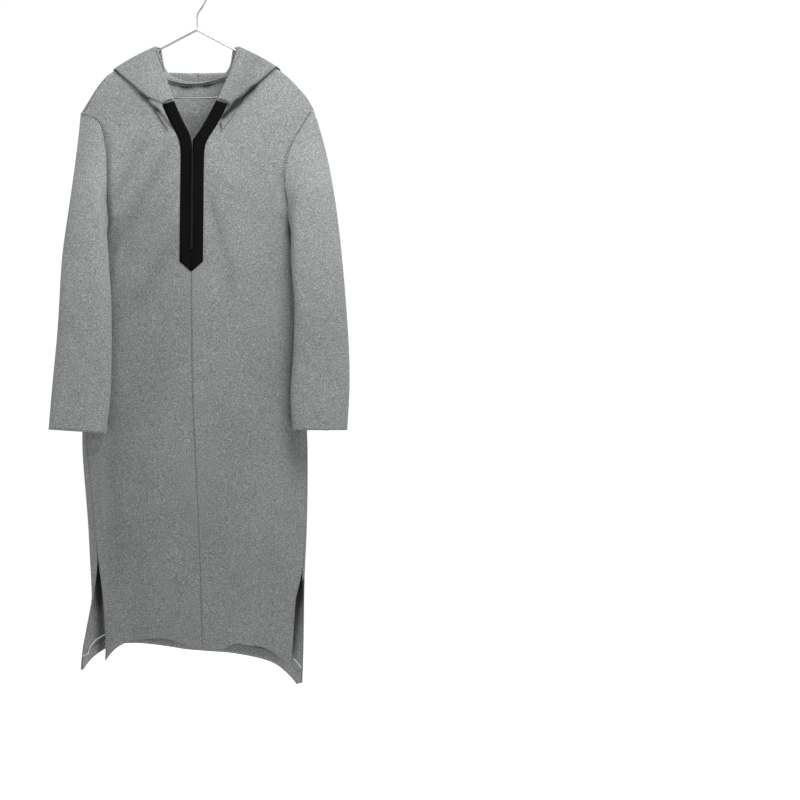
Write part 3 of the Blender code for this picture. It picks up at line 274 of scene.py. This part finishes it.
# Lines of stitches behind, as seen on that plane from as far behind the hanger
SEWN_BEHIND = {
    "hood_hem": [(164, -166), (120, -171), (60, -174), (0, -174), (-60, -174), (-120, -172),
                 (-180, -168)],
    "hood_centre": [(1, -178), (4, -260), (8, -356)],
    "shoulder_back_right": [(214, -246), (200, -226), (184, -206)],
    "armhole_back_left": [(-226, -256), (-212, -270), (-200, -284), (-186, -310),
                          (-176, -345), (-172, -385)],
    "cuff_back_left": [(-190, -893), (-240, -890), (-296, -885)],
    "cuff_back_right": [(196, -884), (240, -887), (296, -889)],
}


def clear_scene():
    for old in list(bpy.data.objects):
        bpy.data.objects.remove(old, do_unlink=True)


def add_object(name, mesh):
    piece = bpy.data.objects.new(name, mesh)
    bpy.context.scene.collection.objects.link(piece)
    return piece


def mesh_of(name, bm):
    """Turns a finished bmesh into a mesh and frees it."""
    mesh = bpy.data.meshes.new(name)
    bm.to_mesh(mesh)
    bm.free()
    return mesh


def table_value(rows, at, column):
    """Value of a table's column at a height; heights fall from row to row."""
    if at >= rows[0][0]:
        return rows[0][column]
    for high, low in zip(rows, rows[1:]):
        if at >= low[0]:
            share = (high[0] - at) / (high[0] - low[0])
            return high[column] + (low[column] - high[column]) * share
    return rows[-1][column]


def smooth_step(value):
    value = min(max(value, 0.0), 1.0)
    return value * value * (3.0 - 2.0 * value)


def sum_of_lines(rows, x, z):
    """Sum of the last values of a table's lines at a place, each fading softly out."""
    total = 0.0
    for x0, z0, x1, z1, width, value in rows:
        dx = x1 - x0
        dz = z1 - z0
        length = math.hypot(dx, dz)
        across = ((x - x0) * dz - (z - z0) * dx) / length
        if abs(across) > LINE_REACH * width:
            continue
        along = ((x - x0) * dx + (z - z0) * dz) / length
        past = max(-along, along - length, 0.0) / (LINE_TAIL * width)
        if past < LINE_REACH:
            total += value * math.exp(-past * past - (across / width) ** 2)
    return total


def undulation(x, z, seed):
    place = Vector((x / UNDULATION_LENGTH, z / (1.6 * UNDULATION_LENGTH), seed))
    return UNDULATION * noise.noise(place)


def drape_body(point):
    """Moves a point of the body, hood or trim into the creases of the body."""
    x, y, z = point / MM
    room = min(x - table_value(SIDES, z, 1), table_value(SIDES, z, 2) - x)
    fade = smooth_step(room / SIDE_FADE) * smooth_step(abs(y) / MIDDLE_FADE)
    if fade == 0.0:
        return point
    creases = FRONT_CREASES if y < 0.0 else BACK_CREASES
    push = sum_of_lines(creases, x, z) + undulation(x, z, 0.0 if y < 0.0 else 7.0)
    inwards = 1.0 if y < 0.0 else -1.0
    return Vector((x, y + inwards * push * fade, z)) * MM


def drape_sleeve(side):
    outwards = -1.0 if side == "left" else 1.0

    def drape(point):
        x, y, z = point / MM
        inner_edge = table_value(SIDES, z, 1 if side == "left" else 2)
        near = 1.0 - smooth_step((x - inner_edge) * outwards / LEAN_REACH)
        x -= outwards * table_value(SLEEVE_LEAN[side], z, 1) * near
        fade = smooth_step((SLEEVE_START - z) / SLEEVE_FADE)
        middle = table_value(SLEEVE_MIDDLE, z, 1)
        fade *= smooth_step(abs(y - middle) / SLEEVE_MIDDLE_FADE)
        front = y < middle
        push = sum_of_lines(SLEEVE_CREASES[side], x, z) if front else 0.0
        push += undulation(x, z, 13.0 if front else 19.0)
        return Vector((x, y + (1.0 if front else -1.0) * push * fade, z)) * MM
    return drape


def is_rim(face):
    """True for a face on the cut edge of a sheet, between its two layers."""
    longest = max(edge.calc_length() for edge in face.edges)
    if face.calc_area() / longest > RIM_WIDTH * MM:
        return False
    long_edges = [edge for edge in face.edges if edge.calc_length() > LONG_EDGE * longest]
    return all(edge.calc_face_angle(0.0) > math.radians(RIM_ANGLE) for edge in long_edges)


def welded_copy(node):
    """The node's mesh with its loose triangles joined to quads and crisp rims."""
    bm = bmesh.new()
    bm.from_mesh(node.data)
    bmesh.ops.remove_doubles(bm, verts=bm.verts, dist=WELD)
    bmesh.ops.join_triangles(
        bm, faces=bm.faces, angle_face_threshold=math.radians(FLAT_ANGLE),
        angle_shape_threshold=math.radians(180.0))
    edge_crease = bm.edges.layers.float.new("crease_edge")
    corner_crease = bm.verts.layers.float.new("crease_vert")
    rims = {face for face in bm.faces if is_rim(face)}
    for face in rims:
        for edge in face.edges:
            if sum(other in rims for other in edge.link_faces) == 1:
                edge[edge_crease] = 1.0
    for vert in bm.verts:
        lines = [edge.other_vert(vert).co - vert.co
                 for edge in vert.link_edges if edge[edge_crease] > 0.0]
        if len(lines) == 2 and lines[0].angle(lines[1], math.pi) < math.radians(CORNER_ANGLE):
            vert[corner_crease] = 1.0
    return bm


def smoothed(name, bm, levels):
    """Subdivides a cage into its finished mesh, with nothing left live on it."""
    mesh = mesh_of(name, bm)
    cage = add_object(name + "_cage", mesh)
    smoother = cage.modifiers.new("smooth", "SUBSURF")
    smoother.levels = levels
    smoother.render_levels = levels
    smoother.use_limit_surface = False
    depsgraph = bpy.context.evaluated_depsgraph_get()
    finished = bpy.data.meshes.new_from_object(cage.evaluated_get(depsgraph))
    bpy.data.objects.remove(cage, do_unlink=True)
    bpy.data.meshes.remove(mesh)
    finished.name = name
    finished.shade_smooth()
    return finished


def flatten_hood(mesh, body):
    """Lets a hood half lie down on the shoulders and the chest."""
    for vert in mesh.vertices:
        y = vert.co.y / MM
        fade = smooth_step((HOOD_FADE_TO - y) / (HOOD_FADE_TO - HOOD_FADE_FROM))
        near, _, _, distance = body.find_nearest(vert.co)
        above = distance - HOOD_REST * MM
        if above > 0.0 and fade > 0.0:
            vert.co -= (vert.co - near) / distance * (above * HOOD_FLATTEN * fade)


def shows_inside(name, x, y, z, facing):
    """True where a piece shows the cloth's wrong side; facing is its normal's y."""
    if name.startswith("front"):
        return facing > TURNED
    if name.startswith("back"):
        return facing < -TURNED and (y > 1.0 or (x > 0.0 and z < SLIT_TOP))
    return name.startswith("hood") and facing < -TURNED and y > 4.0


def seen(point):
    """Where a point shows on the hanger's plane, as the camera sees it."""
    x, y, z = point / MM
    share = CAMERA_DISTANCE / (CAMERA_DISTANCE + y)
    return x * share, CAMERA_Z + (z - CAMERA_Z) * share


def tuck_lapel(mesh, line):
    """Takes a hood's front in to the lapel's straight lower edge."""
    (x0, z0), (x1, z1) = line
    run = Vector((x1 - x0, z1 - z0))
    out = Vector((run.y, -run.x)).normalized()
    if out.y > 0.0:
        out.negate()
    for vert in mesh.vertices:
        x, z = seen(vert.co)
        from_start = Vector((x - x0, z - z0))
        beyond = from_start.dot(out)
        if beyond <= 0.0 or vert.co.y >= 0.0:
            continue
        along = from_start.dot(run) / run.length_squared
        fade = smooth_step((TUCK_END - along) / TUCK_END_FADE)
        fade *= smooth_step((along - TUCK_START) / TUCK_START_FADE)
        move = -beyond * TUCKED * fade * smooth_step(-vert.co.y / (TUCK_DEPTH * MM)) * MM
        vert.co.x += out.x * move
        vert.co.z += out.y * move


def paint_shading(mesh, name, painted_light_level):
    """Paints light and shade into the cloth's tone on its points: by height, scaled by the level
    given, and less in deep creases.
    """
    painted_shading = mesh.attributes.new("painted_shading", "FLOAT", "POINT")
    for i, vert in enumerate(mesh.vertices):
        x, y, z = vert.co / MM
        inside = shows_inside(name, x, y, z, vert.normal.y)
        table = INSIDE_SHADE_BY_HEIGHT if inside else OUTSIDE_SHADE_BY_HEIGHT
        value = painted_light_level * table_value(table, z, 1)
        # faces towards the front, sleeves aside, get painted crease shade
        if vert.normal.y < 0.0 and not name.startswith("sleeve"):
            shades = SHADES["inside" if inside else "outside"]
            value *= max(DARKEST, 1.0 - sum_of_lines(shades, *seen(vert.co)))
        painted_shading.data[i].value = value


def dressed(name, levels, drape, finish, body=None, painted_light_level=1.0):
    """A CAD node's copy, smoothed, draped and given its finish; it takes the node's place."""
    node = frame["nodes"][name]
    mesh = smoothed(name + "_dressed", welded_copy(node), levels)
    if drape:
        for vert in mesh.vertices:
            vert.co = drape(vert.co)
    if body:
        flatten_hood(mesh, body)
        tuck_lapel(mesh, TUCKS[name])
    # the cloth's painted light and shade go into its tone here
    if SLOTS[name] == "melange_cloth":
        paint_shading(mesh, name, painted_light_level)
    mesh.materials.clear()
    mesh.materials.append(finish)
    piece = add_object(name + "_dressed", mesh)
    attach(piece, "root")
    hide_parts(name)
    return piece


# Materials

class Finish:
    """Builds one node material, socket by socket."""

    def __init__(self, name):
        self.material = bpy.data.materials.new(name)
        self.material.use_nodes = True
        self.tree = self.material.node_tree
        self.shader = self.tree.nodes["Principled BSDF"]
        self.place = self.node("ShaderNodeTexCoord").outputs["Object"]

    def node(self, kind, **settings):
        made = self.tree.nodes.new(kind)
        for key, value in settings.items():
            if key in made.inputs:
                made.inputs[key].default_value = value
            else:
                setattr(made, key, value)
        return made

    def join(self, source, target):
        self.tree.links.new(source, target)

    def noise(self, scale, detail=2.0, roughness=0.5, stretch=None):
        made = self.node("ShaderNodeTexNoise")
        made.inputs["Scale"].default_value = scale
        made.inputs["Detail"].default_value = detail
        made.inputs["Roughness"].default_value = roughness
        place = self.place
        if stretch:
            mapping = self.node("ShaderNodeMapping")
            mapping.inputs["Scale"].default_value = stretch
            self.join(self.place, mapping.inputs["Vector"])
            place = mapping.outputs["Vector"]
        self.join(place, made.inputs["Vector"])
        return made.outputs["Fac"]

    def ramp(self, source, stops):
        made = self.node("ShaderNodeValToRGB")
        elements = made.color_ramp.elements
        while len(elements) < len(stops):
            elements.new(0.5)
        for element, (position, colour) in zip(elements, stops):
            element.position = position
            element.color = (*colour, 1.0)
        self.join(source, made.inputs["Fac"])
        return made.outputs["Color"]

    def mix(self, mode, factor, a, b):
        made = self.node("ShaderNodeMix", data_type="RGBA", blend_type=mode)
        made.inputs["Factor"].default_value = factor
        self.join(a, made.inputs["A"])
        self.join(b, made.inputs["B"])
        return made.outputs["Result"]

    def bump(self, height, distance, strength, under=None):
        made = self.node("ShaderNodeBump")
        made.inputs["Distance"].default_value = distance
        made.inputs["Strength"].default_value = strength
        self.join(height, made.inputs["Height"])
        if under:
            self.join(under, made.inputs["Normal"])
        return made.outputs["Normal"]


def grey(value):
    return (value, value, value)


def tinted(value):
    """The cloth's grey, a little towards green."""
    return (0.945 * value, value, 0.965 * value)


def melange_felt():
    """Felted melange: light and dark fibres mixed in specks of 2 to 4 mm, a slow
    change of tone and a soft nap, all times the light and shade painted on its points."""
    felt = Finish("melange_felt")
    specks = felt.noise(460.0, 2.0, 0.6)
    fibres = felt.noise(760.0, 2.0, 0.6, stretch=(1.0, 1.0, 0.6))
    clouds = felt.noise(9.0, 3.0, 0.55)
    colour = felt.ramp(specks, [
        (0.30, tinted(0.15)), (0.44, tinted(0.215)), (0.55, tinted(0.28)),
        (0.70, tinted(0.42)),
    ])
    threads = felt.ramp(fibres, [(0.30, grey(0.72)), (0.5, grey(0.98)), (0.75, grey(1.26))])
    patches = felt.ramp(clouds, [(0.30, grey(0.93)), (0.70, grey(1.07))])
    painted_shading = felt.node("ShaderNodeAttribute", attribute_name="painted_shading")
    colour = felt.mix("MULTIPLY", 1.0, colour, threads)
    colour = felt.mix("MULTIPLY", 1.0, colour, patches)
    # multiplies in the light and shade painted on the cloth's points
    colour = felt.mix("MULTIPLY", 1.0, colour, painted_shading.outputs["Fac"])
    felt.join(colour, felt.shader.inputs["Base Color"])
    normal = felt.bump(fibres, 0.0006, 0.5)
    normal = felt.bump(specks, 0.0010, 0.45, normal)
    felt.join(normal, felt.shader.inputs["Normal"])
    felt.shader.inputs["Roughness"].default_value = 0.95
    felt.shader.inputs["Specular IOR Level"].default_value = 0.15
    felt.shader.inputs["Sheen Weight"].default_value = 0.18
    felt.shader.inputs["Sheen Roughness"].default_value = 0.6
    return felt.material


def woven_tape():
    """Flat black tape with fine ribs across it and a faint sheen."""
    tape = Finish("woven_tape")
    ribs = tape.node("ShaderNodeTexWave", wave_type="BANDS", bands_direction="Z")
    ribs.inputs["Scale"].default_value = 210.0
    ribs.inputs["Distortion"].default_value = 0.6
    tape.join(tape.place, ribs.inputs["Vector"])
    fluff = tape.noise(420.0, 3.0, 0.6)
    colour = tape.ramp(fluff, [(0.3, (0.0015, 0.0015, 0.0015)), (0.75, (0.004, 0.004, 0.004))])
    tape.join(colour, tape.shader.inputs["Base Color"])
    normal = tape.bump(ribs.outputs["Fac"], 0.0005, 0.5)
    normal = tape.bump(fluff, 0.0004, 0.4, normal)
    tape.join(normal, tape.shader.inputs["Normal"])
    tape.shader.inputs["Roughness"].default_value = 0.82
    tape.shader.inputs["Specular IOR Level"].default_value = 0.06
    return tape.material


def glossy_braid():
    """Hard twisted braid, a little glossier than the tape below it."""
    braid = Finish("glossy_braid")
    twist = braid.noise(900.0, 2.0, 0.5, stretch=(0.3, 1.0, 1.0))
    colour = braid.ramp(twist, [(0.3, (0.002, 0.002, 0.002)), (0.8, (0.007, 0.007, 0.007))])
    braid.join(colour, braid.shader.inputs["Base Color"])
    braid.join(braid.bump(twist, 0.0005, 0.6), braid.shader.inputs["Normal"])
    braid.shader.inputs["Roughness"].default_value = 0.6
    braid.shader.inputs["Specular IOR Level"].default_value = 0.15
    return braid.material


def sewing_thread(name, value):
    thread = Finish(name)
    twist = thread.noise(1400.0, 2.0, 0.5)
    colour = thread.ramp(twist, [(0.3, grey(0.8 * value)), (0.7, grey(1.15 * value))])
    thread.join(colour, thread.shader.inputs["Base Color"])
    thread.join(thread.bump(twist, 0.0002, 0.5), thread.shader.inputs["Normal"])
    thread.shader.inputs["Roughness"].default_value = 0.6
    return thread.material


def chromed_wire():
    """Bright chrome with faint drawing marks along the wire."""
    chrome = Finish("chromed_wire_polished")
    marks = chrome.noise(240.0, 2.0, 0.5, stretch=(0.2, 1.0, 1.0))
    shine = chrome.node("ShaderNodeMapRange")
    shine.inputs["To Min"].default_value = 0.10
    shine.inputs["To Max"].default_value = 0.22
    chrome.join(marks, shine.inputs["Value"])
    chrome.join(shine.outputs["Result"], chrome.shader.inputs["Roughness"])
    chrome.join(chrome.bump(marks, 0.0001, 0.3), chrome.shader.inputs["Normal"])
    chrome.shader.inputs["Base Color"].default_value = (0.52, 0.53, 0.54, 1.0)
    chrome.shader.inputs["Metallic"].default_value = 1.0
    return chrome.material


def pale_floor():
    floor = Finish("pale_floor")
    grain = floor.noise(12.0, 2.0, 0.5)
    colour = floor.ramp(grain, [(0.3, (0.90, 0.90, 0.90)), (0.7, (0.93, 0.93, 0.93))])
    floor.join(colour, floor.shader.inputs["Base Color"])
    floor.shader.inputs["Roughness"].default_value = 0.9
    floor.shader.inputs["Emission Color"].default_value = (1.0, 1.0, 1.0, 1.0)
    floor.shader.inputs["Emission Strength"].default_value = 0.5
    return floor.material


# Sewing

def surface_of(pieces):
    """One search tree over the faces of several pieces."""
    points = []
    faces = []
    for piece in pieces:
        start = len(points)
        points.extend(vert.co.copy() for vert in piece.data.vertices)
        faces.extend(tuple(i + start for i in face.vertices) for face in piece.data.polygons)
    return BVHTree.FromPolygons(points, faces)


def eye_point(behind=False):
    return Vector((0.0, CAMERA_DISTANCE if behind else -CAMERA_DISTANCE, CAMERA_Z)) * MM


def cast_line(line, tree, behind=False, step=2.0):
    """Throws a line of the hanger's plane onto the cloth, as seen from the camera."""
    eye = eye_point(behind)
    hits = []
    for start, end in zip(line, line[1:]):
        count = max(1, round(math.dist(start, end) / step))
        for i in range(count):
            share = i / count
            x = start[0] + (end[0] - start[0]) * share
            z = start[1] + (end[1] - start[1]) * share
            target = Vector((x, 0.0, z)) * MM
            place, normal, _, _ = tree.ray_cast(eye, target - eye)
            if place:
                if normal.dot(target - eye) > 0.0:
                    normal = -normal
                hits.append((place, normal))
    return hits


def paced(hits, pitch):
    """Places at an even pitch along a cast line, with the line's direction there."""
    places = []
    travelled = 0.0
    due = pitch * MM / 2
    for (a, normal_a), (b, normal_b) in zip(hits, hits[1:]):
        length = (b - a).length
        if length < 1e-7 or length > LONGEST_STEP:
            continue
        while travelled + length > due:
            share = (due - travelled) / length
            normal = normal_a.lerp(normal_b, share).normalized()
            places.append((a.lerp(b, share), normal, (b - a) / length))
            due += pitch * MM
        travelled += length
    return places


def stitch(bm, place, normal, along, size, turn=0.0, lift=0.25):
    """One stitch: a small bead of thread, half sunk in the cloth."""
    across = normal.cross(along).normalized()
    along = across.cross(normal).normalized()
    frame_of = Matrix((along, across, normal)).transposed().to_4x4()
    spot = Matrix.Translation(place + normal * lift * MM)
    scale = Matrix.Diagonal((size[0] * MM, size[1] * MM, size[2] * MM, 1.0))
    matrix = spot @ frame_of @ Matrix.Rotation(turn, 4, "Z") @ scale
    bmesh.ops.create_uvsphere(bm, u_segments=6, v_segments=4, radius=1.0, matrix=matrix)


def thread_piece(name, bm, finish):
    mesh = mesh_of(name, bm)
    mesh.shade_smooth()
    mesh.materials.append(finish)
    piece = add_object(name, mesh)
    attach(piece, "root")
    return piece


def welt(name, line, below, radius, finish):
    """A rounded fold of cloth along a cast line, tapered at both ends."""
    hits = cast_line(line, surface_of(below), step=3.0)
    bm = bmesh.new()
    ring = bmesh.ops.create_circle(bm, segments=8, radius=1.0)["verts"]
    edges = list(bm.edges)
    last = len(hits) - 1
    before = Matrix.Identity(4)
    for i, (place, normal) in enumerate(hits):
        along = (hits[min(i + 1, last)][0] - hits[max(i - 1, 0)][0]).normalized()
        across = normal.cross(along).normalized()
        up = along.cross(across)
        size = radius * MM * max(0.15, math.sin(math.pi * i / last) ** 0.4)
        turn = Matrix((across, up, along)).transposed().to_4x4()
        matrix = Matrix.Translation(place + up * (0.2 * size)) @ turn
        matrix = matrix @ Matrix.Diagonal((size, 0.8 * size, size, 1.0))
        if i > 0:
            made = bmesh.ops.extrude_edge_only(bm, edges=edges)["geom"]
            ring = [item for item in made if isinstance(item, bmesh.types.BMVert)]
            edges = [item for item in made
                     if isinstance(item, bmesh.types.BMEdge) and item.is_boundary]
        bmesh.ops.transform(bm, verts=ring, matrix=matrix @ before.inverted())
        before = matrix
    bmesh.ops.holes_fill(bm, edges=bm.edges, sides=8)
    bmesh.ops.recalc_face_normals(bm, faces=bm.faces)
    mesh = mesh_of(name, bm)
    mesh.shade_smooth()
    # the welt takes the painted shade of the cloth around it
    paint_shading(mesh, name, 1.0)
    mesh.materials.append(finish)
    piece = add_object(name, mesh)
    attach(piece, "root")


# What is sewn where: line, pieces below it, pitch, half sizes of a stitch, turn
SEAMS = [
    ("shoulder_left", ("front_left",), 4.6, (1.4, 1.4, 0.8), 0.0),
    ("armhole_left", ("front_left", "sleeve_left"), 4.6, (1.5, 1.7, 0.9), 0.0),
    ("armhole_right", ("front_right", "sleeve_right"), 4.6, (1.4, 1.6, 0.9), 0.0),
    ("centre_front", ("front_left", "front_right"), 4.0, (1.2, 0.9, 0.6), 0.0),
    ("left_side", ("front_left", "back"), 4.6, (1.2, 0.7, 0.5), 0.0),
    ("right_side", ("front_right", "back"), 4.6, (1.2, 0.7, 0.5), 0.0),
    ("cuff_left", ("sleeve_left",), 4.6, (1.4, 1.0, 0.6), 0.6),
    ("cuff_right", ("sleeve_right",), 4.6, (1.2, 0.8, 0.5), 0.6),
    ("lapel_left", ("hood_left",), 3.2, (1.7, 0.8, 0.6), 0.3),
    ("lapel_right", ("hood_right",), 3.2, (1.7, 0.8, 0.6), -0.3),
    ("neck_seam", ("hood_left", "hood_right", "back"), 3.0, (1.7, 0.9, 0.6), 0.0),
    ("slit_left_front", ("front_left",), 4.6, (1.2, 0.8, 0.5), 0.5),
    ("slit_right_front", ("front_right",), 4.6, (1.2, 0.8, 0.5), -0.5),
    ("front_hem", ("front_left", "front_right"), 5.0, (1.1, 0.5, 0.35), 0.0),
]
SEAMS_BEHIND = [
    ("hood_hem", ("hood_left", "hood_right"), 5.0, (1.5, 0.6, 0.5), 0.0),
    ("hood_centre", ("hood_left", "hood_right"), 4.6, (1.4, 0.6, 0.5), 0.0),
    ("shoulder_back_right", ("back",), 4.6, (1.4, 1.2, 0.8), 0.0),
    ("armhole_back_left", ("back", "sleeve_left"), 4.6, (1.4, 1.2, 0.8), 0.0),
    ("cuff_back_left", ("sleeve_left",), 4.6, (1.3, 1.0, 0.6), 0.6),
    ("cuff_back_right", ("sleeve_right",), 4.6, (1.3, 1.0, 0.6), 0.6),
]


def sew(shells):
    dark_finish = sewing_thread("dark_thread", 0.03)
    # light grey thread for the painted glints between dark stitches
    glint_finish = sewing_thread("painted_glint_thread", 0.55)
    for line, below, pitch, size, turn in SEAMS + SEAMS_BEHIND:
        dark = bmesh.new()
        light = bmesh.new()
        tree = surface_of([shells[name] for name in below])
        behind = line in SEWN_BEHIND
        path = SEWN_BEHIND[line] if behind else SEWN_FRONT[line]
        places = paced(cast_line(path, tree, behind), pitch)
        for i, (place, normal, along) in enumerate(places):
            sway = 0.25 * math.sin(7.3 * i) + 0.15 * math.sin(2.1 * i)
            stitch(dark, place, normal, along, size, turn + sway)
            # a small light bead after each dark stitch is a painted glint of the thread
            glint = place + along * (0.5 * pitch * MM)
            small = (GLINT_STITCH * size[0], GLINT_STITCH * size[1], size[2])
            stitch(light, glint, normal, along, small, turn - sway)
        thread_piece("dark_stitches_" + line, dark, dark_finish)
        thread_piece("painted_glint_stitches_" + line, light, glint_finish)


def overlock(shells):
    """Light overlock along the raw top edge of the back's turned-up hem."""
    bm = bmesh.new()
    tree = surface_of([shells["back_hem_turnup"], shells["back"]])
    for line in ("turnup_left", "turnup_right"):
        for i, (place, normal, along) in enumerate(paced(cast_line(SEWN_FRONT[line], tree), 2.2)):
            stitch(bm, place, normal, along, (0.9, 1.7, 0.5), 0.3 * math.sin(3.7 * i))
    thread_piece("overlock_light", bm, sewing_thread("overlock_thread", 0.62))


# Studio

def add_camera():
    data = bpy.data.cameras.new("front_camera")
    data.sensor_width = SENSOR
    data.lens = SENSOR * CAMERA_DISTANCE / PICTURE_WIDTH
    data.shift_x = ROBE_OFFSET / PICTURE_WIDTH
    camera = add_object("front_camera", data)
    camera.location = eye_point()
    camera.rotation_euler = (math.radians(90.0), 0.0, 0.0)
    bpy.context.scene.camera = camera


def add_floor():
    bm = bmesh.new()
    bmesh.ops.create_circle(
        bm, cap_ends=True, segments=96, radius=FLOOR_RADIUS * MM,
        matrix=Matrix.Translation(Vector((0.0, 0.0, FLOOR_Z)) * MM))
    mesh = mesh_of("studio_floor", bm)
    mesh.materials.append(pale_floor())
    add_object("studio_floor", mesh)


def area_light(name, place, aim, size, power):
    data = bpy.data.lights.new(name, "AREA")
    data.shape = "RECTANGLE"
    data.size = size[0] * MM
    data.size_y = size[1] * MM
    data.energy = power
    light = add_object(name, data)
    light.location = Vector(place) * MM
    light.rotation_euler = (Vector(aim) - Vector(place)).to_track_quat("-Z", "Y").to_euler()


def add_world():
    """Pale studio all round: white at eye level, dimmer above and below."""
    world = bpy.data.worlds.new("studio_world")
    bpy.context.scene.world = world
    world.use_nodes = True
    tree = world.node_tree
    background = tree.nodes["Background"]
    place = tree.nodes.new("ShaderNodeTexCoord")
    split = tree.nodes.new("ShaderNodeSeparateXYZ")
    ramp = tree.nodes.new("ShaderNodeValToRGB")
    shift = tree.nodes.new("ShaderNodeMapRange")
    shift.inputs["From Min"].default_value = -1.0
    shift.inputs["From Max"].default_value = 1.0
    elements = ramp.color_ramp.elements
    while len(elements) < len(SURROUND):
        elements.new(0.5)
    for element, (position, value) in zip(elements, SURROUND):
        element.position = position
        element.color = (value, value, value, 1.0)
    tree.links.new(place.outputs["Generated"], split.inputs["Vector"])
    tree.links.new(split.outputs["Z"], shift.inputs["Value"])
    tree.links.new(shift.outputs["Result"], ramp.inputs["Fac"])
    tree.links.new(ramp.outputs["Color"], background.inputs["Color"])
    background.inputs["Strength"].default_value = 1.02
    bpy.context.scene.view_settings.view_transform = "Standard"


def add_lights():
    area_light("key", (800, -1200, 1000), (20, 0, -480), (1200, 900), 47.0)
    area_light("fill_left", (-1700, -1500, 100), (0, 0, -700), (1200, 1600), 4.0)
    area_light("back_soft", (-500, 1900, 500), (0, 0, -700), (1500, 1500), 34.0)


clear_scene()
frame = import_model()

add_camera()
add_world()
add_lights()
add_floor()

shells = {}
felt = melange_felt()
for part in ("front_left", "front_right"):
    shells[part] = dressed(part, 3, drape_body, felt)
for part in ("back", "back_hem_turnup"):
    shells[part] = dressed(part, 2, drape_body, felt)
body = surface_of([shells["front_left"], shells["front_right"], shells["back"]])
for side in ("left", "right"):
    part = "hood_" + side
    shells[part] = dressed(part, 3, drape_body, felt, body=body)
    part = "sleeve_" + side
    # the sleeves take a higher level of painted light than the body
    shells[part] = dressed(part, 3, drape_sleeve(side), felt, painted_light_level=SLEEVE_PAINTED_LIGHT)
tape_finish = woven_tape()
tapes = [dressed("trim_" + side, 2, drape_body, tape_finish) for side in ("left", "right")]
braid = dressed("closure_braid", 1, drape_body, glossy_braid())
wire_finish = chromed_wire()
for part in ("hanger_frame", "hanger_hook"):
    dressed(part, 2, None, wire_finish)

for part, (width, length, area) in CUTS.items():
    beside = {"front_left": tapes[:1], "front_right": tapes[1:]}.get(part, [])
    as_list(beside)

for name, line, below, radius in WELTS:
    welt(name, line, [shells[part] for part in below], radius, felt)
sew(shells)
overlock(shells)
